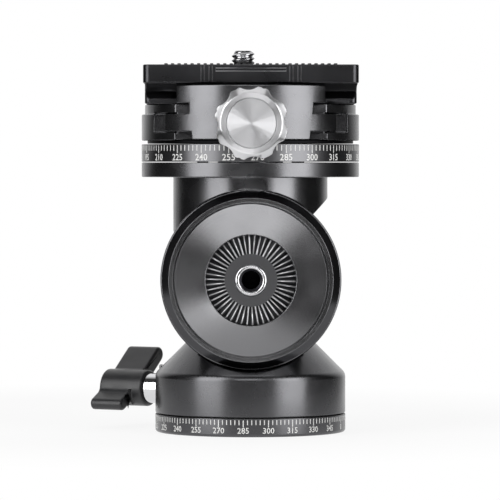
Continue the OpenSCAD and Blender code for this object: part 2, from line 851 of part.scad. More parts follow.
module tilt_axle() {
  color("silver") on_tilt_axis() difference() {
    union() {
      to_front() bar(axle_flange_r - loose, cheek_out - axle_flange_t, cheek_out);
      to_front() bar(tilt_bearing_in, -axle_end, cheek_out - axle_flange_t + eps);
    }
    to_front() bar(insert_r, cheek_out - handle_thread_depth - 1, cheek_out + eps);
    to_rear() ring(clip_in, tilt_bearing_in + 1, clip_z, clip_z + clip_t);
  }
}

module rotor_discs() {
  color("goldenrod") on_tilt_axis() to_front() for (i = [0 : rotor_count - 1]) {
    low = -rear_seat + i * disc_pitch;
    ring(tilt_bearing_in, collar_r, low + loose, low + disc_pitch - loose);
    ring(tilt_bearing_in + 1, disc_r, low + disc_pitch / 2 - plate_t / 2, low + disc_pitch / 2 + plate_t / 2);
  }
}

module axle_clip() {
  color("dimgray") on_tilt_axis() to_rear() difference() {
    ring(clip_in, tilt_bearing_in + 1.2, clip_z, clip_z + clip_t);
    translate([0, -1.5, clip_z - eps]) cube([tilt_bearing_in + 2, 3, clip_t + 2 * eps]);
  }
}

module front_cover() {
  color("#333335") on_tilt_axis() to_front() translate([0, 0, cheek_out]) rotate_extrude()
    polygon([[rosette_r + loose, 0], [bevel_r, 0], [ridge_r, cover_t], [ridge_r - ridge_w, cover_t],
      [ridge_r - ridge_w, groove_floor_h], [face_r, groove_floor_h], [face_r, face_edge_h],
      [face_inner_r, face_h], [rosette_r + 0.2, face_h - chamfer_h],
      [rosette_r + loose, face_h - chamfer_h]]);
}

// The teeth widen with radius, because each groove's root slopes down from the centre
module tooth_groove() {
  slope = asin(teeth_depth / rosette_r);
  half_pitch = PI * rosette_r / tooth_count;
  top_half = half_pitch - crest_w / 2;
  double_h = teeth_depth * 2 - 0.2;
  rotate([0, slope, 0]) rotate([90, 0, 90]) linear_extrude(rosette_r * 1.2)
    polygon([[-root_w / 2, 0], [root_w / 2, 0], [top_half * 2, double_h], [-top_half * 2, double_h]]);
}

module front_rosette() {
  color("#48484a") on_tilt_axis() to_front() translate([0, 0, cheek_out]) difference() {
    ring(insert_r, rosette_r, 0, rosette_h);
    difference() {
      for (i = [0 : tooth_count - 1]) rotate([0, 0, tooth_turn + i * 360 / tooth_count])
        translate([0, 0, rosette_h]) tooth_groove();
      bar(teeth_inner_r, 0, rosette_h + 1);
    }
    translate([0, 0, hub_h]) bar(teeth_inner_r, 0, rosette_h);
  }
}

module handle_insert() {
  color("silver") on_tilt_axis() to_front() translate([0, 0, cheek_out]) difference() {
    bar(insert_r, -handle_thread_depth, hub_h);
    bar(handle_thread_r, -handle_thread_depth + 0.5, hub_h + eps);
    translate([0, 0, hub_h - (insert_r - handle_thread_r) + 0.15])
      cylinder(r1 = handle_thread_r, r2 = insert_r, h = insert_r - handle_thread_r);
  }
}

module rear_cover() {
  color("#333335") on_tilt_axis() to_rear() difference() {
    rotate_extrude()
      polygon([[trunnion_r + 1, cheek_out], [bevel_r, cheek_out], [ridge_r, rear_cover_out],
        [trunnion_r + 1, rear_cover_out]]);
    around(4, rear_screw_reach, 45) translate([0, 0, rear_cover_out])
      flat_screw_hole(rear_cover_t + 1, small_screw_r, small_head_r);
  }
}

module rear_bush() {
  color("darkgoldenrod") on_tilt_axis() to_rear()
    ring(trunnion_r + run_fit, axle_flange_r, cheek_in, cheek_out);
}

module cover_screws() {
  color("silver") on_tilt_axis() to_rear() around(4, rear_screw_reach, 45)
    translate([0, 0, rear_cover_out]) flat_screw(cover_screw_len, small_screw_r, small_head_r);
}

// Tilt lock

module tilt_brake_disc() {
  color("darkgoldenrod") on_tilt_axis() to_rear()
    ring(nose_r + run_fit, brake_disc_r, brake_disc_in, brake_disc_out);
}

module tilt_lock_knob() {
  color("#1c1c1e") on_tilt_axis() to_rear() translate([0, 0, tilt_knob_start]) difference() {
    lobed_knob(tilt_knob_r, tilt_knob_len, lobe_count, 0);
    bar(lock_screw_r, -eps, tilt_knob_len - knob_cap_t);
  }
}

module tilt_lock_screw() {
  color("silver") on_tilt_axis() to_rear()
    bar(lock_screw_r, column_w / 2 + 0.6, tilt_knob_start + tilt_knob_len - knob_cap_t);
}

// Top scale ring and the clamp's own pan lock

module top_scale_ring() {
  color("#6e6e70") on_tilt_axis() difference() {
    union() {
      ring(thin_bearing_out, top_r, ring_u, ring_u + ring_floor_t);
      ring(ring_wall_in, top_r, ring_u, ring_top);
      ring(thin_bearing_out, top_hub_r, ring_u, ring_top);
      ring(nut_r + 0.4, thin_bearing_out + 1, ring_u, top_bearing_u);
    }
    around(4, ring_screw_reach, 45) translate([0, 0, ring_u + ring_floor_t])
      flat_screw_hole(ring_floor_t + 1, screw_r, screw_head_r);
    top_lock_place() bar(top_shoe_r + run_fit, ring_u - eps, ring_top + eps);
  }
}

// The clamp's pan lock stands on an axis parallel to the pan axis, behind the neck
module top_lock_place() {
  translate([0, top_lock_y, 0]) children();
}

module ring_screws() {
  color("silver") on_tilt_axis() around(4, ring_screw_reach, 45)
    translate([0, 0, ring_u + ring_floor_t]) flat_screw(ring_screw_len, screw_r, screw_head_r);
}

module top_bearing() {
  color("silver") on_tilt_axis()
    ring(thin_bearing_in + run_fit, thin_bearing_out, top_bearing_u, top_bearing_u + bearing_w);
}

module top_lock_bush() {
  color("darkgoldenrod") on_tilt_axis() top_lock_place()
    ring(top_screw_r + run_fit, top_bush_r, flange_u, flange_top);
}

module top_brake_shoe() {
  color("darkgoldenrod") on_tilt_axis() top_lock_place() bar(top_shoe_r, top_shoe_start, top_shoe_end);
}

module top_lock_screw() {
  color("silver") on_tilt_axis() top_lock_place()
    bar(top_screw_r, top_knob_top - top_knob_len + top_knob_cap_t, top_screw_top);
}

module top_lock_knob() {
  color("#1c1c1e") on_tilt_axis() top_lock_place() translate([0, 0, top_knob_top]) rotate([180, 0, 0])
    difference() {
      lobed_knob(top_knob_r, top_knob_len, lobe_count, 0);
      bar(top_screw_r, -eps, top_knob_len - top_knob_cap_t);
    }
}

// Panning clamp

module clamp_spindle() {
  color("silver") on_tilt_axis() difference() {
    union() {
      bar(thin_bearing_in, nut_pocket_u + 0.5, spindle_disc_u + eps);
      bar(shoulder_r, top_bearing_u + bearing_w + loose, spindle_disc_u + eps);
      bar(spindle_disc_r, spindle_disc_u, clamp_u);
      bar(spindle_boss_r, clamp_u - eps, spindle_boss_top);
    }
    around(4, spindle_screw_reach, 45) bar(screw_r + loose, spindle_disc_u - eps, spindle_boss_top + eps);
  }
}

module spindle_nut() {
  color("gray") on_tilt_axis()
    ring(thin_bearing_in, nut_r, nut_pocket_u + spindle_nut_rise, top_bearing_u - spindle_nut_gap);
}

module spindle_screws() {
  color("silver") on_tilt_axis() around(4, spindle_screw_reach, 45) translate([0, 0, spindle_head_u])
    cap_screw(spindle_head_u - spindle_disc_u, screw_r, screw_head_r, tall_head_h);
}

// The jaws' outline seen from above
module jaw_plan(half_w, radius, from_y, to_y) {
  intersection() {
    circle(radius);
    translate([-half_w, -to_y]) square([2 * half_w, to_y - from_y]);
  }
}

// The plate's dovetail with the sliding clearance, as an outline seen from the end
module dovetail_outline(gap) {
  half = dovetail_w / 2 + gap;
  neck = half - lip_slope;
  polygon([[-half, -1], [half, -1], [half, lip_edge], [neck, lip_edge + lip_slope], [neck, dovetail_h + 3],
    [-neck, dovetail_h + 3], [-neck, lip_edge + lip_slope], [-half, lip_edge]]);
}

module dovetail_way(gap) {
  translate([0, 0, plate_u]) rotate([90, 0, 90]) linear_extrude(3 * top_r, center = true)
    dovetail_outline(gap);
}

module clamp_body() {
  color("#2f2f31") on_tilt_axis() difference() {
    union() {
      bar(top_r, clamp_u, band_top);
      bar(clamp_upper_r, band_top - eps, floor_u);
      difference() {
        translate([0, 0, floor_u - 1]) rotate([0, 0, 180]) linear_extrude(jaw_lip_h + 1)
          jaw_plan(jaw_half_w, clamp_upper_r, lip_reach, top_r);
        dovetail_way(slide_gap);
      }
    }
    translate([-jaw_half_w - 0.3, -top_r - 1, clamp_u - eps])
      cube([2 * jaw_half_w + 0.6, top_r + 1 - front_wall, floor_u - clamp_u + 1]);
    bar(spindle_boss_r, clamp_u - eps, spindle_boss_top);
    for (side = [-1, 1]) scale([side, 1, 1])
      translate([jaw_half_w - wing_gap, -top_r - 1, pocket_floor])
        cube([jaw_wing_half_w - jaw_half_w + wing_gap + wing_room, top_r + 1.3 - wing_back,
          pocket_top - pocket_floor]);
    to_front() translate([0, jaw_screw_u, 0]) bar(clamp_screw_r + loose, clamp_screw_end - 1, front_wall + 3);
    for (x = [-pin_x, pin_x]) to_front() translate([x, pin_u, 0]) {
      bar(pin_r, pin_start, front_wall + 3);
      bar(spring_out + 0.2, spring_start - 0.1, front_wall + 3);
    }
    translate([-stop_slot_half, -stop_slot_w / 2, floor_u - stop_slot_depth])
      cube([2 * stop_slot_half, stop_slot_w, stop_slot_depth + 1]);
    around(4, spindle_screw_reach, 45) {
      bar(screw_r + loose, clamp_u - eps, floor_u + 1);
      bar(screw_head_r + 0.1, spindle_head_u, floor_u + 1);
    }
  }
}

module guide_pins() {
  color("silver") on_tilt_axis() to_front() for (x = [-pin_x, pin_x]) translate([x, pin_u, 0])
    bar(pin_r, pin_start, pin_end);
}

module jaw_springs() {
  color("gray") on_tilt_axis() to_front() for (x = [-pin_x, pin_x]) translate([x, pin_u, 0])
    ring(spring_in, spring_out, spring_start, jaw_in - 0.05);
}

module clamp_jaw() {
  color("#2f2f31") on_tilt_axis() difference() {
    union() {
      translate([0, 0, clamp_u + 0.2]) linear_extrude(wing_floor - clamp_u)
        jaw_plan(jaw_lower_half_w, top_r, jaw_in, top_r + 1);
      translate([0, 0, wing_floor]) linear_extrude(wing_top - wing_floor) {
        jaw_plan(jaw_half_w, top_r, jaw_in, top_r + 1);
        difference() {
          jaw_plan(jaw_wing_half_w, top_r, wing_back, top_r + 1);
          translate([-jaw_half_w, -jaw_in]) square([2 * jaw_half_w, top_r]);
        }
      }
      translate([0, 0, wing_top - eps]) linear_extrude(jaw_neck_top - wing_top + 2 * eps)
        jaw_plan(jaw_upper_half_w, top_r, jaw_in, top_r + 1);
      difference() {
        translate([0, 0, jaw_neck_top]) linear_extrude(jaw_lip_top - jaw_neck_top)
          jaw_plan(jaw_half_w, top_r, lip_reach, top_r + 1);
        dovetail_way(slide_gap);
      }
    }
    to_front() translate([0, jaw_screw_u, 0]) bar(clamp_screw_r + run_fit, jaw_in - 1, top_r + 1);
    for (x = [-pin_x, pin_x]) to_front() translate([x, pin_u, 0])
      bar(pin_r + run_fit, jaw_in - 1, pin_end + 0.1);
  }
}

module clamp_screw() {
  color("silver") on_tilt_axis() to_front() translate([0, jaw_screw_u, 0])
    bar(clamp_screw_r, clamp_screw_end, clamp_knob_start + clamp_knob_len - knob_cap_t);
}

module clamp_knob() {
  color("lightgray") on_tilt_axis() to_front() translate([0, jaw_screw_u, clamp_knob_start]) difference() {
    lobed_knob(clamp_knob_r, clamp_knob_len, lobe_count, 3.5);
    bar(clamp_screw_r, -eps, clamp_knob_len - knob_cap_t);
  }
}

// Quick release plate

module slot_plan(half, r) {
  translate([-half, -r]) square([2 * half, 2 * r]);
  for (x = [-half, half]) translate([x, 0]) circle(r);
}

// A rectangle with round corners, seen from above
module plate_plan(length, width, corner) {
  square([length, width - 2 * corner], center = true);
  square([length - 2 * corner, width], center = true);
  for (x = [-1, 1]) for (y = [-1, 1])
    translate([x * (length / 2 - corner), y * (width / 2 - corner)]) circle(corner);
}

module quick_plate() {
  color("#141416") on_tilt_axis() difference() {
    union() {
      intersection() {
        translate([0, 0, plate_u]) rotate([90, 0, 90]) linear_extrude(plate_len, center = true)
          dovetail_outline(0);
        translate([0, 0, plate_u]) linear_extrude(dovetail_h + 1)
          plate_plan(plate_len - 2 * dovetail_end_in, dovetail_w, dovetail_corner);
      }
      translate([0, 0, slab_u]) linear_extrude(slab_t) plate_plan(plate_len, plate_w, plate_corner);
    }
    translate([0, 0, slab_top - pad_depth]) linear_extrude(pad_depth + 1)
      square([ridge_area, pad_w], center = true);
    translate([0, 0, plate_u - 1]) linear_extrude(dovetail_h + slab_t + 2) slot_plan(slot_half, slot_r);
    translate([-under_slot_half, -under_slot_w / 2, plate_u - 1])
      cube([2 * under_slot_half, under_slot_w, under_slot_top - plate_u + 1]);
    for (side = [-1, 1]) {
      translate([-side_groove_half, side * plate_w / 2 - side_groove_depth, side_groove_u])
        cube([2 * side_groove_half, 2 * side_groove_depth, side_groove_h]);
      for (end = [-1, 1]) for (x = side_notch_x)
        translate([end * x, side * plate_w / 2, slab_u + slab_t / 2])
          cube([side_notch_w, 2 * side_groove_depth, slab_t + 1], center = true);
      translate([side * stop_x, 0, plate_u - eps]) bar(stop_screw_r, 0, stop_screw_len + 0.2);
    }
  }
}

module plate_pad() {
  ridges = floor(ridge_area / ridge_pitch) - 1;
  color("#1a1a1a") on_tilt_axis() difference() {
    union() {
      translate([0, 0, slab_top - pad_depth]) linear_extrude(pad_depth)
        square([ridge_area - 2 * loose, pad_w - 2 * loose], center = true);
      for (i = [-ridges / 2 : ridges / 2]) translate([i * ridge_pitch, 0, slab_top - eps])
        linear_extrude(ridge_h + eps) square([ridge_pitch / 2, pad_w - 2 * loose], center = true);
    }
    translate([0, 0, slab_top - 2]) linear_extrude(4) slot_plan(slot_half, slot_r + slot_rim);
  }
}

module stop_screws() {
  color("silver") on_tilt_axis() for (side = [-1, 1]) translate([side * stop_x, 0, plate_u]) {
    bar(stop_screw_r, -eps, stop_screw_len);
    bar(stop_r, -stop_drop, 0);
  }
}

// The retainer is pushed onto the screw's neck from one side
module screw_retainer() {
  neck_hole_r = screw_neck_r + run_fit;
  color("silver") on_tilt_axis() translate([camera_screw_x, 0, retainer_u]) linear_extrude(retainer_t)
    difference() {
      square(2 * retainer_half, center = true);
      circle(neck_hole_r);
      translate([0, -neck_hole_r + loose]) square([retainer_half + 1, 2 * (neck_hole_r - loose)]);
    }
}

module camera_screw() {
  disc_top = retainer_u - 0.1;
  disc_low = disc_top - screw_disc_t;
  color("silver") on_tilt_axis() translate([camera_screw_x, 0, 0]) difference() {
    union() {
      bar(screw_neck_r, disc_top - eps, screw_thread_u + eps);
      bar(camera_screw_r, screw_thread_u, screw_thread_u + camera_screw_out);
      bar(screw_disc_r, disc_low, disc_top);
    }
    translate([-screw_disc_r - 1, -screw_slot_w / 2, disc_low - eps])
      cube([2 * screw_disc_r + 2, screw_slot_w, screw_slot_depth]);
  }
}

base_ring();
base_pad();
pan_spindle();
pan_drum();
base_screws();
pan_bearing();
pan_nut();
pan_seal();
body_housing();
pan_rotor();
rotor_screws();
pan_lock_bush();
level_cup();
level_vial();
column_cap();
cap_screws();
tilt_bearings();
stator_plates();
rear_trunnion();
trunnion_screws();
pan_brake_shoe();
pan_lock_knob();
pan_lock_screw();
tilt_arm();
tilt_axle();
rotor_discs();
axle_clip();
front_cover();
front_rosette();
handle_insert();
rear_cover();
rear_bush();
cover_screws();
top_scale_ring();
ring_screws();
top_bearing();
top_lock_bush();
tilt_brake_disc();
tilt_lock_knob();
tilt_lock_screw();
top_brake_shoe();
top_lock_knob();
top_lock_screw();
clamp_body();
clamp_spindle();
spindle_nut();
spindle_screws();
guide_pins();
jaw_springs();
clamp_jaw();
clamp_knob();
clamp_screw();
quick_plate();
plate_pad();
stop_screws();
screw_retainer();
camera_screw();
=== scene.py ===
# %% [markdown]
# # A compact fluid video head
# This lesson dresses a finished mechanical model of a small pan and tilt head for a studio
# picture. The solids already have their true sizes, so nothing is moved. What is left is what
# a maker's finishing shop does: breaking the edges, blasting, turning, anodising and engraving,
# and after that what a photographer does with a camera and soft boxes.

# %% Load the frame
import json
import math

import bmesh
import bpy
from mathutils import Matrix, Vector


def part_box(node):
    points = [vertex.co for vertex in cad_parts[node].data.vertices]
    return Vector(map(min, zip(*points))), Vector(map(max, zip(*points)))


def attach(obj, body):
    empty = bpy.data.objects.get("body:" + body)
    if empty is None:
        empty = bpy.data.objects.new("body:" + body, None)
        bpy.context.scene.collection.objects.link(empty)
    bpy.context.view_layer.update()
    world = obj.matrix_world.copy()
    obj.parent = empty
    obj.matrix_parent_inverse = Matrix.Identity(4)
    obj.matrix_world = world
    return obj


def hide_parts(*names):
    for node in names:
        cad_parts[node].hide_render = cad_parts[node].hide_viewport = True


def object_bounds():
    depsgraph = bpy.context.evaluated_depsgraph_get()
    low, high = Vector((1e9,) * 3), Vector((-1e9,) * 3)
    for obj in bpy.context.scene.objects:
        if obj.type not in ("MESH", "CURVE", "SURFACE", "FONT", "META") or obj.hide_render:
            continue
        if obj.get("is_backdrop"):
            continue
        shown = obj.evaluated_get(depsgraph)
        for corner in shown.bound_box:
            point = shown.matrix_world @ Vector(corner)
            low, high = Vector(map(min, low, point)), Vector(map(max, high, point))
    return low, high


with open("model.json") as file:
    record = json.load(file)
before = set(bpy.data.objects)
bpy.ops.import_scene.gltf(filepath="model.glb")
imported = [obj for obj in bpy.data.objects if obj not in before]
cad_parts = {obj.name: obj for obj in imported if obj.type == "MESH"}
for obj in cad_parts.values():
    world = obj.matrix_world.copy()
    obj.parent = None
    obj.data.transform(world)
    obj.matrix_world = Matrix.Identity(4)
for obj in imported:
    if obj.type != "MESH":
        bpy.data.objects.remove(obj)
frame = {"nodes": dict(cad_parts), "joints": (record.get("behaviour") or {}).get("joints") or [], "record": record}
cad_low, cad_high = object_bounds()
MM = 0.001

# %% [markdown]
# ## Sizes taken from the frame
# The pan axis is the Z axis. The tilt axis runs along Y at the height that the tilt joint gives,
# and the clamp's knob turns on a third axis. Reading them here keeps every later pattern centred
# on the metal that it belongs to.

# %% Axes and radii
joints = {joint["name"]: joint for joint in frame["joints"]}
mounts = {mount["name"]: mount for mount in frame["record"]["mounts"]}
pan_axis = Vector((0, 0, 0))
tilt_axis = Vector(joints["tilt"]["pos_m"])
knob_axis = Vector(joints["clamp_knob_turn"]["pos_m"])
to_front, to_rear, upward = Vector((0, -1, 0)), Vector((0, 1, 0)), Vector((0, 0, 1))
base_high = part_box("base_ring")[1]
ring_low, ring_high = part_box("top_scale_ring")
base_radius = base_high.x
ring_radius = ring_high.x
print("tilt axis at", round(tilt_axis.z / MM, 2), "mm, ring radius", round(ring_radius / MM, 2), "mm")

# %% [markdown]
# ## The camera
# The picture is taken with a long lens from a little over a metre, almost straight in front and
# just above the tilt axis, so the round parts look almost flat and the base shows a thin
# ellipse. A long lens far away keeps the plate's edges parallel.

# %% Camera
lens_mm, sensor_mm = 288, 36
camera_azimuth = -0.4
camera_away_mm, camera_up_mm = 1105.6, 24.9
aim = Vector((-0.1, 0.0, 50.1)) * MM
camera_data = bpy.data.cameras.new("studio_camera")
camera_data.lens = lens_mm
camera_data.sensor_width = sensor_mm
camera = bpy.data.objects.new("studio_camera", camera_data)
bpy.context.scene.collection.objects.link(camera)
camera_turn = math.radians(camera_azimuth)
level_away = Vector((math.sin(camera_turn), -math.cos(camera_turn), 0))
camera.location = aim + (level_away * camera_away_mm + upward * camera_up_mm) * MM
camera.rotation_mode = "QUATERNION"
camera.rotation_quaternion = (aim - camera.location).to_track_quat("-Z", "Y")
bpy.context.scene.camera = camera
bpy.context.scene.view_settings.view_transform = "Standard"
print("camera stands", round((aim - camera.location).length, 3), "m away")

# %% [markdown]
# ## Two small helpers for materials
# A material is a tree of nodes. One helper turns a colour written as a web colour into the
# linear numbers that light is computed with, and the other adds a node, sets it and plugs it in.

# %% Colour and node helpers
def linear(web_colour):
    """A web colour such as 4a4a4c as linear red, green, blue and alpha."""
    channels = [int(web_colour[i : i + 2], 16) / 255 for i in (0, 2, 4)]
    return [c / 12.92 if c <= 0.04045 else ((c + 0.055) / 1.055) ** 2.4 for c in channels] + [1.0]


def add(tree, kind, settings=None, links=None):
    """Adds a node, gives it its settings, and links its inputs."""
    node = tree.nodes.new("ShaderNode" + kind)
    for key, value in (settings or {}).items():
        if isinstance(key, int) or key in node.inputs:
            node.inputs[key].default_value = value
        else:
            setattr(node, key, value)
    for key, source in (links or {}).items():
        tree.links.new(source, node.inputs[key])
    return node


# %% [markdown]
# ## The studio
# Black anodised metal is seen by what it reflects. Two wide soft boxes stand to the left and
# right in front, so every upright cylinder shows two bright bands with a dark middle. A third
# one stands above the camera and a small card below it: the cover's shallow cone mirrors them
# to the camera, which draws the fans of light above and below the rosette. A fourth box hangs
# overhead. The room in front of the object is dim, and behind and half overhead it is white,
# as a hanging roll of paper would be.

# %% Room light
# Y points away from the camera. Height counts for a little over half as much, so the paper
# also reaches half overhead.
dim_room, paper_starts, paper_full, height_share = 0.04, 0.6, 0.97, 0.6
world = bpy.data.worlds.new("studio_room")
bpy.context.scene.world = world
world.use_nodes = True
room = world.node_tree
room.nodes.clear()
rays = add(room, "LightPath")
direction = add(room, "TexCoord")
split = add(room, "SeparateXYZ", {}, {"Vector": direction.outputs["Generated"]})
behind = add(room, "Math", {"operation": "MULTIPLY_ADD", 1: height_share},
             {0: split.outputs["Z"], 2: split.outputs["Y"]})
glow = add(room, "MapRange",
           {"From Min": paper_starts, "From Max": paper_full, "To Min": dim_room, "To Max": 1.0},
           {"Value": behind.outputs[0]})
seen = add(room, "MixRGB", {2: (1, 1, 1, 1)},
           {0: rays.outputs["Is Camera Ray"], 1: glow.outputs["Result"]})
paper = add(room, "Background", {"Strength": 1.0}, {"Color": seen.outputs["Color"]})
add(room, "OutputWorld", {}, {"Surface": paper.outputs["Background"]})
print("the room is dim in front and white behind")


# %% Soft boxes
def soft_box(name, azimuth, elevation, distance, width, height, radiance):
    """A rectangular area light that looks at the head. Azimuth 0 is the camera's side."""
    data = bpy.data.lights.new(name, "AREA")
    data.shape = "RECTANGLE"
    data.size, data.size_y = width, height
    data.energy = radiance * math.pi * width * height
    lamp = bpy.data.objects.new(name, data)
    bpy.context.scene.collection.objects.link(lamp)
    a, e = math.radians(azimuth), math.radians(elevation)
    away = Vector((math.sin(a) * math.cos(e), -math.cos(a) * math.cos(e), math.sin(e)))
    target = Vector((0, 0, tilt_axis.z))
    lamp.location = target + away * distance
    lamp.rotation_mode = "QUATERNION"
    lamp.rotation_quaternion = (-away).to_track_quat("-Z", "Y")
    lamp.visible_camera = False


# Azimuth and elevation in degrees, then distance, width and height in metres, and radiance.
soft_box("box_left", -51, 16, 1.5, 0.95, 1.4, 4.0)
soft_box("box_right", 50, 6, 1.5, 0.95, 1.4, 4.4)
soft_box("box_front", -1, 20, 1.5, 0.9, 0.4, 2.9)
soft_box("card_low", -10, -17, 0.5, 0.24, 0.12, 3.6)
soft_box("box_top", 0, 80, 1.4, 1.2, 0.9, 1.1)
print("four soft boxes and a low card")

# %% [markdown]
# ## The floor
# A plain pale sheet. To the camera, and in reflections, most of its brightness is a plain white,
# and the rest is lit by the lamps, so it stays nearly white and still carries the shadow. The
# sheet is a disc that turns all plain white towards its rim, so neither its edge nor a horizon
# shows. It lies a little back and to the left, so the low card sees the cover past its front
# edge, and beyond it the metal reflects the dark room.

# %% Floor
sheet_radius = 0.19
sheet_centre = Vector((-0.04, 0.05, 0.0))
floor_mesh = bpy.data.meshes.new("floor")
floor_form = bmesh.new()
bmesh.ops.create_circle(floor_form, cap_ends=True, segments=96, radius=sheet_radius)
bmesh.ops.translate(floor_form, vec=sheet_centre, verts=floor_form.verts)
floor_form.to_mesh(floor_mesh)
floor_form.free()
floor = bpy.data.objects.new("floor", floor_mesh)
bpy.context.scene.collection.objects.link(floor)
floor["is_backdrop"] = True
print("floor at z 0, radius", sheet_radius, "m")

# %% Floor material
plain_share, fade_from, fade_to = 0.86, 0.1, 0.185
sheet = bpy.data.materials.new("pale_studio_sheet")
sheet.use_nodes = True
sheet_tree = sheet.node_tree
sheet_tree.nodes.clear()
rays = add(sheet_tree, "LightPath")
direct = add(sheet_tree, "Math", {"operation": "MAXIMUM"},
             {0: rays.outputs["Is Camera Ray"], 1: rays.outputs["Is Glossy Ray"]})
direct = add(sheet_tree, "Math", {"operation": "MAXIMUM"},
             {0: direct.outputs[0], 1: rays.outputs["Is Transmission Ray"]})
place = add(sheet_tree, "TexCoord")
from_middle = add(sheet_tree, "VectorMath", {"operation": "SUBTRACT", 1: sheet_centre},
                  {0: place.outputs["Object"]})
away = add(sheet_tree, "VectorMath", {"operation": "LENGTH"}, {0: from_middle.outputs["Vector"]})
fade = add(sheet_tree, "MapRange",
           {"From Min": fade_from, "From Max": fade_to, "To Min": plain_share, "To Max": 1.0},
           {"Value": away.outputs["Value"]})
share = add(sheet_tree, "Math", {"operation": "MULTIPLY"},
            {0: direct.outputs[0], 1: fade.outputs["Result"]})
lit = add(sheet_tree, "BsdfDiffuse", {"Color": linear("f2f2f2")})
plain = add(sheet_tree, "Emission", {"Color": (1, 1, 1, 1), "Strength": 1.0})
both = add(sheet_tree, "MixShader", {},
           {0: share.outputs[0], 1: lit.outputs[0], 2: plain.outputs[0]})
add(sheet_tree, "OutputMaterial", {}, {"Surface": both.outputs[0]})
floor_mesh.materials.append(sheet)
print("plain white share of the floor:", plain_share)

# %% [markdown]
# ## Starting a finish
# Every finish starts from what the surface really is. The first helper makes the shader with its
# colour, its metallic value and its roughness. The others add the marks of a process: grain for
# blasting and moulding, rings for turning, slightly paler edges, where the anodising is thinnest
# and hands polish it, and roughness and colours that drift.

# %% Finish helpers
finishes = {}


def finish(slot, name, web_colour, metallic, roughness, more=None):
    """A material for one of the record's slots, with its tree and shader."""
    material = bpy.data.materials.new(name)
    material.use_nodes = True
    tree = material.node_tree
    tree.nodes.clear()
    values = {"Base Color": linear(web_colour), "Metallic": metallic, "Roughness": roughness}
    shader = add(tree, "BsdfPrincipled", {**values, **(more or {})})
    add(tree, "OutputMaterial", {}, {"Surface": shader.outputs["BSDF"]})
    material.diffuse_color = linear(web_colour)
    finishes[slot] = material
    return tree, shader


def soft_edge(tree, radius_mm):
    """The normal of an edge that is broken by a small radius."""
    return add(tree, "Bevel", {"samples": 4, "Radius": radius_mm * MM}).outputs["Normal"]


def grain(tree, size_mm, depth_mm, under):
    """A normal with fine irregular grain over another one, for blasted or moulded surfaces."""
    place = add(tree, "TexCoord")
    noise = add(tree, "TexNoise", {"Scale": 1 / (size_mm * MM), "Detail": 2.0},
                {"Vector": place.outputs["Object"]})
    bump = add(tree, "Bump", {"Strength": 1.0, "Distance": depth_mm * MM},
               {"Height": noise.outputs[0], "Normal": under})
    return bump.outputs["Normal"]


def rings(tree, centre, axis, pitch_mm, depth_mm, under):
    """A normal with the rings that a lathe tool leaves round an axis, over another one."""
    place = add(tree, "TexCoord")
    centred = add(tree, "Mapping", {"Location": -centre}, {"Vector": place.outputs["Object"]})
    # At scale 1 this texture draws 20 rings over a length of 2 pi.
    scale = 2 * math.pi / (20 * pitch_mm * MM)
    wave = add(tree, "TexWave",
               {"wave_type": "RINGS", "rings_direction": axis, "Scale": scale, "Distortion": 0.0},
               {"Vector": centred.outputs["Vector"]})
    bump = add(tree, "Bump", {"Strength": 1.0, "Distance": depth_mm * MM},
               {"Height": wave.outputs["Fac"], "Normal": under})
    return bump.outputs["Normal"]


def patchy(tree, shader, low, high, size_mm):
    """Roughness that drifts between two values over some millimetres, as real finishes do."""
    place = add(tree, "TexCoord")
    noise = add(tree, "TexNoise", {"Scale": 1 / (size_mm * MM), "Detail": 3.0},
                {"Vector": place.outputs["Object"]})
    # Nearly all of the noise lies between 0.35 and 0.65.
    spread = add(tree, "MapRange", {"From Min": 0.35, "From Max": 0.65, "To Min": low, "To Max": high},
                 {"Value": noise.outputs[0]})
    tree.links.new(spread.outputs["Result"], shader.inputs["Roughness"])


def mottled(tree, shader, low_colour, high_colour, size_mm, detail):
    """A colour that drifts between two, as dust, wear or a tinted liquid does."""
    place = add(tree, "TexCoord")
    noise = add(tree, "TexNoise", {"Scale": 1 / (size_mm * MM), "Detail": detail},
                {"Vector": place.outputs["Object"]})
    blend = add(tree, "MixRGB", {1: linear(low_colour), 2: linear(high_colour)}, {0: noise.outputs[0]})
    tree.links.new(blend.outputs["Color"], shader.inputs["Base Color"])


def pale_edge(tree, shader, web_colour, edge_colour, rounded, strength):
    """Lets the colour turn paler where the rounded normal leaves the flat one."""
    flat = add(tree, "NewGeometry").outputs["Normal"]
    match = add(tree, "VectorMath", {"operation": "DOT_PRODUCT"}, {0: rounded, 1: flat})
    mask = add(tree, "MapRange",
               {"From Min": 0.995, "From Max": 0.85, "To Min": 0.0, "To Max": strength},
               {"Value": match.outputs["Value"]})
    blend = add(tree, "MixRGB", {1: linear(web_colour), 2: linear(edge_colour)},
                {0: mask.outputs["Result"]})
    tree.links.new(blend.outputs["Color"], shader.inputs["Base Color"])
    return blend


def radius_from(tree, centre, keep):
    """How far a point is from an axis. keep is (1, 0, 1) for an axis along Y."""
    place = add(tree, "TexCoord")
    from_axis = add(tree, "VectorMath", {"operation": "SUBTRACT", 1: centre},
                    {0: place.outputs["Object"]})
    across = add(tree, "VectorMath", {"operation": "MULTIPLY", 1: keep},
                 {0: from_axis.outputs["Vector"]})
    length = add(tree, "VectorMath", {"operation": "LENGTH"}, {0: across.outputs["Vector"]})
    return length.outputs["Value"]


# %% [markdown]
# ## Anodised aluminium, blasted
# The housing, the arm, the clamp and the base are machined from aluminium, blasted with fine
# glass beads and anodised black or dark grey. It stays a metal, with a dark tint on its
# reflection and a satin spread. The beads leave dimples of about 0.1 mm, drawn here at 0.3 mm
# so that they show at all.

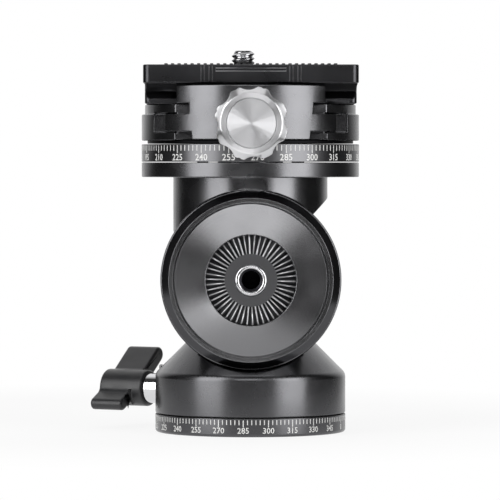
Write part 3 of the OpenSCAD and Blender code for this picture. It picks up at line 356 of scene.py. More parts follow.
# %% Blasted anodised finishes
def blasted(slot, name, colour, edge_colour, roughness):
    """Bead-blasted anodised aluminium. Gives back its tree, its shader and its colour node."""
    tree, shader = finish(slot, name, colour, 1.0, roughness)
    rounded = soft_edge(tree, 0.15)
    blend = pale_edge(tree, shader, colour, edge_colour, rounded, 0.5)
    patchy(tree, shader, roughness - 0.03, roughness + 0.04, 9)
    tree.links.new(grain(tree, 0.3, 0.004, rounded), shader.inputs["Normal"])
    return tree, shader, blend


blasted("housing_black", "blasted_black_anodised", "5a5a5c", "a6a6a8", 0.26)
blasted("arm_grey", "blasted_dark_grey_anodised", "626264", "b0b0b2", 0.26)
blasted("clamp_black", "blasted_clamp_anodised", "626264", "a8a8aa", 0.26)
blasted("seam_black", "dull_black_anodised", "1a1a1c", "2c2c2e", 0.5)
print("blasted finishes:", list(finishes))

# %% [markdown]
# ## The plate's painted lip highlights
# The lips of the grooves and notches in the plate's long sides are coloured pale as a painted highlight, for the
# thin lines of light that their sloped faces catch. The colour finds them by four marks: close to a long side,
# below the upper edge, above the lower one, and looking up or down.

# %% Plate finish
plate_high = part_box("quick_plate")[1]
cut_depth, cut_from, cut_to, blur = 0.8 * MM, 0.5 * MM, 4.5 * MM, 0.1 * MM
tree, shader, blend = blasted("plate_black", "satin_plate_anodised", "404042", "8c8c8e", 0.30)
place = add(tree, "SeparateXYZ", {}, {"Vector": add(tree, "TexCoord").outputs["Object"]})
height = place.outputs["Z"]
sideways = add(tree, "Math", {"operation": "ABSOLUTE"}, {0: place.outputs["Y"]})
at_side = add(tree, "MapRange",
              {"From Min": plate_high.y - cut_depth, "From Max": plate_high.y - cut_depth + blur},
              {"Value": sideways.outputs[0]})
under_top = add(tree, "MapRange",
                {"From Min": plate_high.z - cut_from, "From Max": plate_high.z - cut_from - blur},
                {"Value": height})
over_base = add(tree, "MapRange",
                {"From Min": plate_high.z - cut_to, "From Max": plate_high.z - cut_to + blur},
                {"Value": height})
normal = add(tree, "NewGeometry").outputs["Normal"]
facing = add(tree, "SeparateXYZ", {}, {"Vector": normal})
steep = add(tree, "Math", {"operation": "ABSOLUTE"}, {0: facing.outputs["Z"]})
lip = add(tree, "MapRange", {"From Min": 0.25, "From Max": 0.5}, {"Value": steep.outputs[0]})
# Painted highlight: where all four marks meet, the lips are coloured pale, dcdcde.
painted_lip_highlight = under_top
for mask in (over_base, at_side, lip):
    painted_lip_highlight = add(tree, "Math", {"operation": "MULTIPLY"}, {0: painted_lip_highlight.outputs[0], 1: mask.outputs["Result"]})
bright = add(tree, "MixRGB", {2: linear("dcdcde")}, {0: painted_lip_highlight.outputs[0], 1: blend.outputs["Color"]})
tree.links.new(bright.outputs["Color"], shader.inputs["Base Color"])
print("the plate's side ends at", round(plate_high.y / MM, 2), "mm")

# %% [markdown]
# ## Anodised aluminium, turned
# The drum's covers, the scale ring and the clamp's knob come off a lathe. A tool leaves rings of about 0.1 mm
# feed, which stretch a highlight across them, so the shader is anisotropic along a tangent that runs round the
# axis. The rings themselves are drawn at 0.8 or 0.9 mm, because finer ones would flicker at this size of picture.
# The cover's outer bevel is coloured darker than its cone, as painted shade. The knob's disc has a wide, soft
# glow, and its lobes are smoother.

# %% Turned anodised finishes
def turned(slot, name, colour, edge_colour, roughness, anisotropy, centre, axis, pitch_mm=0.9):
    """Turned metal, with its tangent taken from the piece's own UV map named turned."""
    fan = {"Anisotropic": anisotropy, "Anisotropic Rotation": 0.25}
    tree, shader = finish(slot, name, colour, 1.0, roughness, fan)
    rounded = soft_edge(tree, 0.12)
    blend = pale_edge(tree, shader, colour, edge_colour, rounded, 0.6)
    patchy(tree, shader, roughness - 0.02, roughness + 0.03, 12)
    tree.links.new(rings(tree, centre, axis, pitch_mm, 0.0012, rounded), shader.inputs["Normal"])
    tangent = add(tree, "Tangent", {"direction_type": "UV_MAP", "uv_map": "turned"})
    tree.links.new(tangent.outputs["Tangent"], shader.inputs["Tangent"])
    return tree, shader, blend


turned("scale_grey", "turned_scale_anodised", "646466", "c0c0c2", 0.32, 0.4, pan_axis, "Z")
cone_grey, painted_shade_bevel_grey, face_radius = "7c7c7e", "4a4a4c", 22.2 * MM
tree, shader, blend = turned("cover_grey", "turned_grey_anodised", cone_grey, "b0b0b2",
                             0.22, 0.3, tilt_axis, "Y")
# Painted shade: outside the face radius the cover's colour turns darker, 4a4a4c.
outside = add(tree, "MapRange", {"From Min": face_radius, "From Max": face_radius + 0.2 * MM},
              {"Value": radius_from(tree, tilt_axis, (1, 0, 1))})
zones = add(tree, "MixRGB", {1: linear(cone_grey), 2: linear(painted_shade_bevel_grey)},
            {0: outside.outputs["Result"]})
tree.links.new(zones.outputs["Color"], blend.inputs[1])
print("the cover's bevel starts at", round(face_radius / MM, 2), "mm")

# %% Knob finish
disc_radius, disc_rough, lobe_rough = 6.6 * MM, 0.5, 0.28
tree, shader, blend = turned("silver_knob", "turned_clear_anodised", "dcdcde", "f0f0f0",
                             disc_rough, 0.97, knob_axis, "Y", 0.8)
zones = add(tree, "MapRange", {"From Min": disc_radius, "From Max": disc_radius + 0.3 * MM,
                               "To Min": disc_rough, "To Max": lobe_rough},
            {"Value": radius_from(tree, knob_axis, (1, 0, 1))})
tree.links.new(zones.outputs["Result"], shader.inputs["Roughness"])
print("finishes so far:", len(finishes))

# %% [markdown]
# ## The milled rosette
# The rosette's teeth are milled. Their crests are coloured pale over the last 0.2 mm of their height, and the
# roots of the grooves, which lie on a shallow cone, a tenth of the radius deep, are coloured pale too: both are
# painted highlights for the light that these flat faces catch. The flanks between them are coloured dark as
# painted shade, and the plain hub inside the teeth is a middle grey.

# %% Rosette finish
rosette_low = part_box("front_rosette")[0]
front, crest_highlight_depth, root_slope, hub_radius = rosette_low.y, 0.2 * MM, 0.0997, 7.1 * MM
root_bright, root_dark = 0.02 * MM, 0.16 * MM
tree, shader = finish("rosette_grey", "milled_grey_anodised", "4a4a4c", 1.0, 0.3)
place = add(tree, "TexCoord")
split = add(tree, "SeparateXYZ", {}, {"Vector": place.outputs["Object"]})
radius = radius_from(tree, tilt_axis, (1, 0, 1))
# Painted highlight: the crests are coloured pale, e4e4e6, over their last 0.2 mm.
painted_crest_highlight = add(tree, "MapRange", {"From Min": front + crest_highlight_depth, "From Max": front},
             {"Value": split.outputs["Y"]})
depth = add(tree, "Math", {"operation": "SUBTRACT", 1: front}, {0: split.outputs["Y"]})
root = add(tree, "Math", {"operation": "MULTIPLY", 1: root_slope}, {0: radius})
over_root = add(tree, "Math", {"operation": "SUBTRACT"}, {0: root.outputs[0], 1: depth.outputs[0]})
# Painted highlight: the roots of the grooves are coloured pale, b4b4b6.
painted_root_highlight = add(tree, "MapRange", {"From Min": root_dark, "From Max": root_bright},
                {"Value": over_root.outputs[0]})
hub = add(tree, "MapRange", {"From Min": hub_radius + 0.1 * MM, "From Max": hub_radius},
          {"Value": radius})
# Painted shade: the flanks are coloured dark, 3a3a3c, and the hub inside the teeth is a middle grey.
hub_and_painted_flank_shade = add(tree, "MixRGB", {1: linear("3a3a3c"), 2: linear("6a6a6c")}, {0: hub.outputs["Result"]})
roots = add(tree, "MixRGB", {2: linear("b4b4b6")},
            {0: painted_root_highlight.outputs["Result"], 1: hub_and_painted_flank_shade.outputs["Color"]})
crests = add(tree, "MixRGB", {2: linear("e4e4e6")},
             {0: painted_crest_highlight.outputs["Result"], 1: roots.outputs["Color"]})
tree.links.new(crests.outputs["Color"], shader.inputs["Base Color"])
tree.links.new(grain(tree, 0.5, 0.003, soft_edge(tree, 0.12)), shader.inputs["Normal"])
print("the rosette's crests lie at", round(front / MM, 2), "mm")

# %% [markdown]
# ## Plated and machined metals
# The lock's collar is chrome plated. Chrome is nearly a mirror and needs only faint smears. The screws are steel,
# bright or with black oxide, whose crystals make it dull. The handle's insert is turned bright, and inside its
# bore its colour turns almost black as painted shade. Plain aluminium and brass hide inside, but they show in an
# opened view.

# %% Plated and machined finishes
tree, shader = finish("chrome", "polished_chrome_plate", "dcdcde", 1.0, 0.08)
patchy(tree, shader, 0.06, 0.14, 3)
tree.links.new(grain(tree, 1.5, 0.001, soft_edge(tree, 0.1)), shader.inputs["Normal"])

tree, shader = finish("steel", "machined_steel", "b4b4b6", 1.0, 0.26)
patchy(tree, shader, 0.17, 0.24, 4)
tree.links.new(grain(tree, 0.9, 0.0006, soft_edge(tree, 0.1)), shader.inputs["Normal"])

tree, shader = finish("dark_steel", "black_oxide_steel", "3c3c40", 1.0, 0.4)
patchy(tree, shader, 0.34, 0.46, 2)
tree.links.new(grain(tree, 0.2, 0.002, soft_edge(tree, 0.1)), shader.inputs["Normal"])

tree, shader = finish("inner_alu", "machined_plain_aluminium", "c8c8ca", 1.0, 0.34)
patchy(tree, shader, 0.3, 0.4, 4)
tree.links.new(grain(tree, 0.25, 0.002, soft_edge(tree, 0.1)), shader.inputs["Normal"])

tree, shader = finish("brass", "machined_brass", "b9a070", 1.0, 0.3)
patchy(tree, shader, 0.24, 0.38, 3)
tree.links.new(grain(tree, 0.25, 0.002, soft_edge(tree, 0.1)), shader.inputs["Normal"])
print("finishes so far:", len(finishes))

# %% Insert finish
insert_low, insert_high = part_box("handle_insert")
lip_depth, bore_depth = 0.3 * MM, 1.1 * MM
tree, shader = finish("insert_steel", "turned_insert_steel", "b4b4b6", 1.0, 0.2)
place = add(tree, "TexCoord")
split = add(tree, "SeparateXYZ", {}, {"Vector": place.outputs["Object"]})
in_bore = add(tree, "MapRange",
              {"From Min": insert_low.y + lip_depth, "From Max": insert_low.y + bore_depth},
              {"Value": split.outputs["Y"]})
# Painted shade: deeper in the bore than 0.3 mm the colour turns almost black, 18181a.
painted_bore_shade = add(tree, "MixRGB", {1: linear("c4c4c6"), 2: linear("18181a")},
            {0: in_bore.outputs["Result"]})
tree.links.new(painted_bore_shade.outputs["Color"], shader.inputs["Base Color"])
patchy(tree, shader, 0.17, 0.24, 4)
print("the insert is", round((insert_high.y - insert_low.y) / MM, 2), "mm long")

# %% [markdown]
# ## Plastic, rubber, liquid and paint
# The knobs are moulded glass-filled nylon with an even sheen and a fine spark-eroded grain. The
# pads are natural rubber, dull and a little dusty. The level holds tinted spirit under clear
# acrylic, and the scales are filled with white enamel.

# %% Non-metals
tree, shader = finish("knob_black", "moulded_black_nylon", "232325", 0.0, 0.36, {"IOR": 1.53})
patchy(tree, shader, 0.3, 0.42, 5)
tree.links.new(grain(tree, 0.3, 0.006, soft_edge(tree, 0.2)), shader.inputs["Normal"])

tree, shader = finish("rubber", "natural_black_rubber", "1d1d1e", 0.0, 0.62, {"IOR": 1.52})
mottled(tree, shader, "19191a", "2c2c2d", 4, 4.0)
tree.links.new(grain(tree, 0.25, 0.01, soft_edge(tree, 0.1)), shader.inputs["Normal"])

clear = {"IOR": 1.45, "Transmission Weight": 0.85}
tree, shader = finish("level_glass", "tinted_level_spirit", "b9e08a", 0.0, 0.05, clear)
mottled(tree, shader, "b4de80", "c6e89c", 1.5, 2.0)

tree, shader = finish("white_enamel", "white_enamel_fill", "e4e4e2", 0.0, 0.45, {"IOR": 1.5})
mottled(tree, shader, "d4d4d2", "f0f0ee", 0.8, 3.0)
print("all finishes:", len(finishes))

# %% [markdown]
# ## Giving every solid its finish
# The record names a finish for each node. A solid whose shape is right simply gets its
# material, and the ones that are replaced further down pass theirs on to the new piece.

# %% Assign the finishes
slot_of = {part["node"]: part["material_slot"] for part in frame["record"]["subparts"]}
carried = frame["record"]["behaviour"]["bodies"]
body_of = {node: body for body, nodes in carried.items() for node in nodes}
for node, solid in frame["nodes"].items():
    solid.data.materials.clear()
    solid.data.materials.append(finishes[slot_of[node]])
print("nodes with a finish:", len(slot_of))

# %% [markdown]
# ## From a solid to a finished piece
# A machined part never has a perfectly sharp edge: it is chamfered or tumbled, and that thin
# line catches the light. So a copy of a solid is merged into clean faces, its sharp edges are
# bevelled by a fraction of a millimetre, and it takes the solid's place.

# %% Edge helpers
sharp_angle = math.radians(32)


def merged_copy(node, flat_degrees=0.6):
    """A node's mesh with its doubles merged and its flat faces joined."""
    form = bmesh.new()
    form.from_mesh(frame["nodes"][node].data)
    bmesh.ops.remove_doubles(form, verts=form.verts, dist=0.01 * MM)
    bmesh.ops.dissolve_limit(form, angle_limit=math.radians(flat_degrees),
                             verts=form.verts, edges=form.edges)
    return form


def break_edges(form, width_mm, segments=2, where=None):
    """Bevels the sharp edges whose middle passes the test."""
    sharp = []
    for edge in form.edges:
        if edge.is_manifold and edge.calc_face_angle() > sharp_angle:
            if where is None or where((edge.verts[0].co + edge.verts[1].co) / 2):
                sharp.append(edge)
    bmesh.ops.bevel(form, geom=sharp, offset=width_mm * MM, segments=segments, profile=0.5,
                    affect="EDGES", material=-1, clamp_overlap=False, loop_slide=False)
    bmesh.ops.remove_doubles(form, verts=form.verts, dist=0.002 * MM)


# %% [markdown]
# ## Faces round a hole
# When a flat face has a hole in it, Blender keeps the face as one loop that runs in to the hole
# and out again, and its triangles may then reach across the opening. Cutting such a face by a
# few planes first gives every part of it a plain outline. The planes stand at odd places, so
# that none runs along an edge.

# %% Cutting helpers
cut_gap = 0.0005 * MM


def cut_by_plane(form, point, normal):
    """Cuts all faces along a plane and keeps both sides."""
    everything = form.verts[:] + form.edges[:] + form.faces[:]
    bmesh.ops.bisect_plane(form, geom=everything, dist=cut_gap, plane_co=point, plane_no=normal)


def split_faces(form):
    """Cuts the form by planes across X and Y, at shares of its box."""
    low = Vector([min(v.co[i] for v in form.verts) for i in range(3)])
    high = Vector([max(v.co[i] for v in form.verts) for i in range(3)])
    for axis, shares in ((0, (0.14, 0.31, 0.49, 0.67, 0.84)), (1, (0.21, 0.505, 0.79))):
        normal = Vector([1.0 if i == axis else 0.0 for i in range(3)])
        for share in shares:
            cut_by_plane(form, low.lerp(high, share), normal)


def cut_sectors(form, axis_point, axis):
    """Cuts the form into 24 sectors, so that no face lies all round the axis."""
    side = axis.orthogonal().normalized()
    for step in range(12):
        turn = math.radians(15 * step + 3.7)
        cut_by_plane(form, axis_point, Matrix.Rotation(turn, 3, axis) @ side)


# %% [markdown]
# ## Spinning, and the lathe's direction
# A turned piece is a profile spun round an axis, as on a lathe. Its highlight is stretched
# along the tool's rings, so it carries a UV map whose U runs round the axis: the shader takes
# its tangent from there.

# %% Lathe helpers
def spun(profile, place, segments=64, ring=False):
    """A turned form from (radius, height) points in millimetres, placed by a matrix.

    The points start and end on the axis, or close a ring."""
    form = bmesh.new()
    verts = [form.verts.new((r * MM, 0, z * MM)) for r, z in profile]
    ends = verts[1:] + verts[:1] if ring else verts[1:]
    edges = [form.edges.new(pair) for pair in zip(verts, ends)]
    bmesh.ops.spin(form, geom=verts + edges, cent=(0, 0, 0), axis=(0, 0, 1),
                   angle=2 * math.pi, steps=segments, use_merge=True)
    bmesh.ops.remove_doubles(form, verts=form.verts, dist=cut_gap)
    bmesh.ops.transform(form, matrix=place, verts=form.verts)
    bmesh.ops.recalc_face_normals(form, faces=form.faces)
    return form


def distance_from(point, axis_point, axis):
    """How far a point is from an axis through axis_point."""
    arm = point - axis_point
    return (arm - axis * arm.dot(axis)).length


def round_the_axis(form, axis_point, axis):
    """A UV map named turned, whose U runs round the axis."""
    side = axis.orthogonal().normalized()
    other = axis.cross(side)
    layer = form.loops.layers.uv.new("turned")
    for face in form.faces:
        middle = face.calc_center_median() - axis_point
        start = math.atan2(middle.dot(other), middle.dot(side))
        slope = face.normal.cross(axis.cross(middle))
        slope = slope.normalized() if slope.length > 1e-9 else axis
        for loop in face.loops:
            arm = loop.vert.co - axis_point
            turn = math.atan2(arm.dot(other), arm.dot(side)) - start
            turn = (turn + math.pi) % (2 * math.pi) - math.pi
            # Only the direction of U counts, so the two factors are free.
            loop[layer].uv = (turn * 3, (arm - middle).dot(slope) * 100)


# %% [markdown]
# ## Handing a piece in
# Every piece is made an object that rides on the body it belongs to, and the solid that it replaces is hidden.
# Normals weighed by face size keep the flats flat right up to their bevels.

# %% Piece helpers
pieces = {}


def finished(form, name, slot, body, nodes=()):
    """Turns the form into an object that rides on a body and hides the nodes it replaces."""
    mesh = bpy.data.meshes.new(name)
    form.to_mesh(mesh)
    form.free()
    mesh.shade_smooth()
    mesh.set_sharp_from_angle(angle=sharp_angle)
    piece = bpy.data.objects.new(name, mesh)
    bpy.context.scene.collection.objects.link(piece)
    mesh.materials.append(finishes[slot])
    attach(piece, body)
    if nodes:
        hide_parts(*nodes)
    print(name, "faces:", len(mesh.polygons))
    return piece


def even_shading(piece):
    """Weighs normals by face size, so that flats stay flat beside a bevel."""
    weigh = piece.modifiers.new("even_shading", "WEIGHTED_NORMAL")
    weigh.weight = 80
    weigh.keep_sharp = True


# %% [markdown]
# ## The bevelled pieces
# Most solids need nothing but broken edges, wider on the big castings than on small parts. The
# pan lock's collar and the tilt lock's knob are a little rounder. The two rear knobs have flat
# faces with a hole in the middle, so they are cut first, and turned pieces get their sectors
# and their UV map.

# %% Bevelled machined pieces
edge_widths = {
    "body_housing": 0.25, "tilt_arm": 0.25, "clamp_body": 0.3, "clamp_jaw": 0.3,
    "top_scale_ring": 0.15, "rear_cover": 0.2, "plate_pad": 0.12, "pan_lock_bush": 0.25,
    "level_cup": 0.12, "clamp_spindle": 0.1, "tilt_brake_disc": 0.1, "stop_screws": 0.1,
    "screw_retainer": 0.1, "top_lock_knob": 0.15, "tilt_lock_knob": 0.2,
}
rounder = {"pan_lock_bush": 3, "tilt_lock_knob": 3}
holed = ("top_lock_knob", "tilt_lock_knob")
lathe_axes = {"cover_grey": (tilt_axis, to_rear), "scale_grey": (pan_axis, upward)}
for node, width in edge_widths.items():
    slot = slot_of[node]
    form = merged_copy(node, 0.05 if slot in lathe_axes else 0.6)
    if node in holed:
        split_faces(form)
    break_edges(form, width, rounder.get(node, 2))
    if slot in lathe_axes:
        cut_sectors(form, *lathe_axes[slot])
        round_the_axis(form, *lathe_axes[slot])
    pieces[node] = finished(form, "finished_" + node, slot, body_of[node], [node])
    even_shading(pieces[node])

# %% [markdown]
# ## The quick release plate
# The plate's outer edges get a generous chamfer, because hands slide it in and out. The small
# grooves and notches in its long sides are milled last, so their edges stay almost sharp.

# %% Quick release plate
grooves_end, grooves_floor = 13.8 * MM, 24.4 * MM
slot_end, slot_side = 26 * MM, 23 * MM


def in_side_band(point, above, below):
    """True in the grooved stretch of a long side, between two depths below the top."""
    in_stretch = abs(point.x) < grooves_end and abs(point.y) > grooves_floor
    return in_stretch and above < plate_high.z - point.z < below


def outer_edge(point):
    """True where an edge isn't part of a groove, a notch or the slot."""
    in_middle = abs(point.x) < slot_end and abs(point.y) < slot_side
    return not (in_side_band(point, 0.4 * MM, 4.6 * MM) or in_middle)


def in_side_groove(point):
    """True where an edge belongs to the grooves and notches of the long sides."""
    return in_side_band(point, 0.6 * MM, 4.4 * MM)


form = merged_copy("quick_plate")
split_faces(form)
break_edges(form, 0.3, 3, outer_edge)
break_edges(form, 0.14, 2, in_side_groove)
pieces["quick_plate"] = finished(form, "finished_quick_plate", "plate_black", "plate", ["quick_plate"])
even_shading(pieces["quick_plate"])

# %% [markdown]
# ## The toothed rosette
# The teeth are cut with a pointed cutter. Only their crests are rounded, by wear, so the bevel
# takes just the edges that lie in the foremost plane.

# %% Rosette
form = merged_copy("front_rosette")
break_edges(form, 0.1, 2, lambda p: p.y < rosette_low.y + 0.04 * MM)
pieces["front_rosette"] = finished(form, "finished_front_rosette", "rosette_grey", "arm", ["front_rosette"])
even_shading(pieces["front_rosette"])

# %% [markdown]
# ## The wing knob
# A moulded wing has no machined chamfer: the whole outline is rounded by the mould, so it gets
# a wide bevel with several segments.

# %% Wing knob
form = merged_copy("pan_lock_knob")
break_edges(form, 0.75, 4)
pieces["pan_lock_knob"] = finished(form, "moulded_wing_knob", "knob_black", "pan_knob", ["pan_lock_knob"])
even_shading(pieces["pan_lock_knob"])

# %% [markdown]
# ## The drum's cover
# The cover on the handle side is one turned disc: a bevel coloured dark as painted shade, a raised ridge, a groove
# and a shallow cone that leads to the rosette. It is spun from its profile as on a lathe, so the cone has no stray
# edges. The groove is cut deep enough to stay black. The edges are broken by only 0.08 mm, and the UV map runs
# round the tilt axis, so the boxes draw a wide fan of light on it.

# %% Front cover
cover_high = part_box("front_cover")[1]
back = -cover_high.y / MM
bore, lip, cone_edge, ridge_inner, ridge_outer, rim = 12.15, 12.45, 20.7, 21.2, 22.3, 24.2
ridge, groove, cone_start, collar = back + 2, back + 0.2, back + 1.4, back + 2.3
cone_rise = (cone_edge - lip) * math.tan(math.radians(9.3))
profile = [(bore, back), (rim, back), (ridge_outer, ridge), (ridge_inner, ridge),
           (ridge_inner, groove), (cone_edge, groove), (cone_edge, cone_start),
           (lip, cone_start + cone_rise), (bore, collar)]
on_tilt_axis = Matrix.Translation(tilt_axis) @ Matrix.Rotation(math.radians(90), 4, "X")
form = spun(profile, on_tilt_axis, 192, ring=True)
break_edges(form, 0.08, 2)
round_the_axis(form, tilt_axis, to_rear)
pieces["front_cover"] = finished(form, "turned_front_cover", "cover_grey", "arm", ["front_cover"])
even_shading(pieces["front_cover"])

# %% [markdown]
# ## The clamp's knob
# Clear anodised aluminium: eight milled lobes round a turned disc. The lobes' rim is broken
# wide, while the thin groove round the disc keeps crisp edges.

# %% Clamp knob
groove_inner, groove_outer = 5.5 * MM, 7.4 * MM
form = merged_copy("clamp_knob", 0.05)
break_edges(form, 0.18, 3, lambda p: distance_from(p, knob_axis, to_front) > groove_outer)
break_edges(form, 0.06, 2, lambda p: groove_inner < distance_from(p, knob_axis, to_front) < groove_outer)
cut_sectors(form, knob_axis, to_front)
round_the_axis(form, knob_axis, to_front)
pieces["clamp_knob"] = finished(form, "turned_clamp_knob", "silver_knob", "jaw_knob", ["clamp_knob"])
even_shading(pieces["clamp_knob"])

# %% [markdown]
# ## The base ring
# Only the ring's upper outer edge shows, so only it is broken.

# %% Base ring
form = merged_copy("base_ring")
break_edges(form, 0.15, 2, lambda p: p.xy.length > base_radius - 0.5 * MM and p.z > 1 * MM)
pieces["base_ring"] = finished(form, "finished_base_ring", "housing_black", "base", ["base_ring"])
even_shading(pieces["base_ring"])

# %% [markdown]
# ## Threads
# A thread is a blunt triangular ridge that climbs as it turns. A spin with a small lift at each
# step makes it from one outline: outside a core for the camera screw, inside the bore for the
# handle's insert and the tripod socket.

# %% Thread helper
def thread_ridge(form, place, root_r, crest_r, pitch_mm, turns):
    """Adds a helical ridge with closed ends, in millimetres, placed by a matrix."""
    # The foot covers 88 % of the pitch, and the crest a seventh of the foot.
    half, blunt, steps = pitch_mm * 0.44, 0.14, 40
    corners = [(root_r, -half), (crest_r, -half * blunt), (crest_r, half * blunt), (root_r, half)]
    known = set(form.verts)
    verts = [form.verts.new((r * MM, 0, z * MM)) for r, z in corners]
    start = form.faces.new(verts)
    lift = Vector((0, 0, pitch_mm * MM / steps))
    bmesh.ops.spin(form, geom=[start] + verts + list(start.edges), cent=(0, 0, 0), axis=(0, 0, 1),
                   angle=2 * math.pi * turns, steps=int(steps * turns), dvec=lift,
                   use_duplicate=False)
    ridge = [vert for vert in form.verts if vert not in known]
    bmesh.ops.transform(form, matrix=place, verts=ridge)
    bmesh.ops.recalc_face_normals(form, faces=form.faces)


# %% [markdown]
# ## The camera screw
# Its disc runs in the plate's slot and is dished below. Above it comes a plain neck, and then
# the quarter inch thread, whose pitch is 1.27 mm and whose tip is chamfered so that it finds
# its hole.

# %% Camera screw
screw_low, screw_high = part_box("camera_screw")
retainer_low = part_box("screw_retainer")[0]
screw_x = (screw_low.x + screw_high.x) / 2
tip = screw_high.z / MM
thread_out = mounts["camera_screw"]["dims"]["length_mm"]
thread_start = tip - thread_out
disc_low, disc_top = screw_low.z / MM, retainer_low.z / MM - 0.1
disc = (screw_high.x - screw_low.x) / 2 / MM
dish, dish_edge, neck, minor, tip_radius = 2.4, 2.8, 2.5, 2.62, 2.2
profile = [(0, disc_low + 1.2), (dish, disc_low + 1.2), (dish_edge, disc_low),
           (disc - 0.3, disc_low), (disc, disc_low + 0.3), (disc, disc_top - 0.2),
           (disc - 0.2, disc_top), (neck, disc_top), (neck, thread_start - 0.2),
           (minor, thread_start), (minor, tip - 0.7), (tip_radius, tip), (0, tip)]
form = spun(profile, Matrix.Translation((screw_x, 0, 0)))
# The ridge starts and ends half its foot inside the threaded length.
screw_pitch, half_foot, ridge_root, ridge_crest = 1.27, 0.56, 2.55, 3.15
thread_turns = (thread_out - 2 * half_foot) / screw_pitch
ridge_place = Matrix.Translation((screw_x, 0, (thread_start + half_foot) * MM))
thread_ridge(form, ridge_place, ridge_root, ridge_crest, screw_pitch, thread_turns)
pieces["camera_screw"] = finished(form, "threaded_camera_screw", "steel", "screw", ["camera_screw"])

# %% [markdown]
# ## The insert and the tripod socket
# The handle screws into a steel insert, whose lip is rounded and shows as a bright ring round a
# dark bore. Both bores carry a ridge of thread: metric for the handle, and 3/8 inch with sixteen
# turns to the inch for the tripod.

# %% Handle insert
insert_out, insert_back = -insert_low.y / MM, -insert_high.y / MM
insert_radius, bore_radius = (insert_high.x - insert_low.x) / 2 / MM, 3.0
lip_radius = (insert_radius - bore_radius) / 2
lip_arc = [(bore_radius + lip_radius + lip_radius * math.cos(math.radians(t)),
            insert_out - lip_radius + lip_radius * math.sin(math.radians(t)))
           for t in range(0, 181, 15)]
profile = [(0, insert_back), (insert_radius, insert_back), *lip_arc,
           (bore_radius, insert_back + 0.5), (0, insert_back + 0.5)]
form = spun(profile, on_tilt_axis)
pieces["handle_insert"] = finished(form, "turned_handle_insert", "insert_steel", "arm", ["handle_insert"])

# %% Threads in the bores
turned_in = Matrix.Rotation(math.radians(-90), 4, "X")
into_insert = Matrix.Translation((0, insert_low.y, tilt_axis.z)) @ turned_in
form = bmesh.new()
thread_ridge(form, into_insert @ Matrix.Translation((0, 0, 1.9 * MM)), 3.02, 2.55, 1.0, 6)
# Painted shade: this ridge takes the dark black oxide finish, to match the painted shade in the handle's bore.
finished(form, "handle_thread_ridge", "dark_steel", "arm")
form = bmesh.new()
thread_ridge(form, Matrix.Translation((0, 0, 1.0 * MM)), 4.78, 4.1, 25.4 / 16, 4.2)
finished(form, "tripod_thread_ridge", "steel", "base")

# %% [markdown]
# ## The scales
# Both rings carry a scale in degrees: a line every 2.5 degrees, a longer one every 15, and its
# number below. Each line is a thin bar and each number is a text turned into a mesh. They are
# bent round the ring and stand a hair proud of it, as filled enamel does.

# %% Scale helpers
line_step, number_step, line_width_mm, line_depth_mm = 2.5, 15, 0.24, 0.06


def digits(text, height_mm):
    """The outline of a number as a thin mesh, centred on x, standing on y zero.

    A digit is 0.7 of the text's size high."""
    curve = bpy.data.curves.new("digits", "FONT")
    curve.body = text
    curve.size = height_mm * MM / 0.7
    curve.align_x = "CENTER"
    curve.resolution_u = 2
    curve.extrude = 0.03 * MM
    curve.offset = 0.02 * MM
    holder = bpy.data.objects.new("digits", curve)
    mesh = bpy.data.meshes.new_from_object(holder)
    bpy.data.objects.remove(holder)
    return mesh


def bend_round(verts, radius, angle, height):
    """Wraps flat verts round the Z axis. Angle 0 faces the front and grows to the right."""
    for vert in verts:
        x, y, z = vert.co
        turn = angle + x / radius
        reach = radius + z
        vert.co = Vector((reach * math.sin(turn), -reach * math.cos(turn), height + y))


def scale_marks(name, body, radius, lines_top, digits_foot, digit_mm, long_mm, short_mm, zero):
    """One ring's whole scale as one mesh. zero is where its zero stands, in degrees."""
    form = bmesh.new()
    lines_to_number = int(number_step / line_step)
    for i in range(int(360 / line_step)):
        length = long_mm if i % lines_to_number == 0 else short_mm
        made = bmesh.ops.create_cube(form, size=1)["verts"]
        size = Matrix.Diagonal((line_width_mm * MM, length * MM, line_depth_mm * MM, 1))
        hang = Matrix.Translation((0, -length / 2 * MM, 0))
        bmesh.ops.transform(form, matrix=hang @ size, verts=made)
        bend_round(made, radius, math.radians(zero + i * line_step), lines_top)
    for number in range(0, 360, number_step):
        mesh = digits(str(number), digit_mm)
        before = len(form.verts)
        form.from_mesh(mesh)
        form.verts.ensure_lookup_table()
        bend_round(form.verts[before:], radius, math.radians(zero + number), digits_foot)
        bpy.data.meshes.remove(mesh)
    finished(form, name, "white_enamel", body)


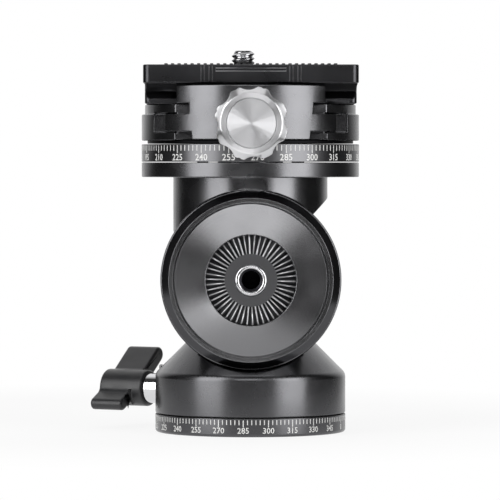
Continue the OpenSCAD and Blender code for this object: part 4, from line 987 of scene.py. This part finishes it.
# %% Both scales
base_zero = -4.2 + camera_azimuth - 285
ring_zero = 3.8 + camera_azimuth - 270
scale_marks("base_scale", "base", base_radius, base_high.z - 0.35 * MM, base_high.z - 3.95 * MM,
            1.55, 1.9, 1.3, base_zero)
scale_marks("clamp_scale", "arm", ring_radius, ring_high.z - 0.3 * MM, ring_low.z + 0.4 * MM,
            1.75, 2.1, 1.5, ring_zero)

# %% [markdown]
# ## The level
# The level's lens is a low dome of clear acrylic over tinted spirit, spun as one piece. When the head stands level
# a bubble sits in its middle: a flattened sphere under the dome, coloured white enamel as a painted highlight, for
# the bright spot that a real bubble shows.

# %% Level
vial_low, vial_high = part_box("level_vial")
vial_centre = (vial_low + vial_high) / 2
vial_radius = (vial_high.x - vial_low.x) / 2 / MM
vial_height = (vial_high.z - vial_low.z) / MM
profile = [(0, 0), (vial_radius, 0), (vial_radius, vial_height - 0.35),
           (vial_radius - 0.3, vial_height - 0.12), (vial_radius * 0.6, vial_height - 0.03),
           (0, vial_height)]
form = spun(profile, Matrix.Translation((vial_centre.x, vial_centre.y, vial_low.z)))
pieces["level_vial"] = finished(form, "level_lens", "level_glass", "turret", ["level_vial"])

# %% Bubble
bubble_radius, bubble_flat, bubble_depth = 1.25 * MM, 0.28, 0.3 * MM
form = bmesh.new()
bmesh.ops.create_uvsphere(form, u_segments=32, v_segments=16, radius=bubble_radius)
squeeze = Matrix.Diagonal((1, 1, bubble_flat, 1))
rise = Matrix.Translation((vial_centre.x, vial_centre.y, vial_high.z - bubble_depth))
bmesh.ops.transform(form, matrix=rise @ squeeze, verts=form.verts)
# Painted highlight: the bubble is coloured white enamel.
finished(form, "level_bubble", "white_enamel", "turret")

# %% [markdown]
# ## Sizes and the end
# The dressed model has to stay in the box of the solids. The last line prints how far the box of the dressed model
# grows past it.

# %% Print how far the box grows
dressed_low, dressed_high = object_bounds()
growth = (*(cad_low - dressed_low), *(dressed_high - cad_high))
print("box grows by", [round(v * 1000, 3) for v in growth], "mm")
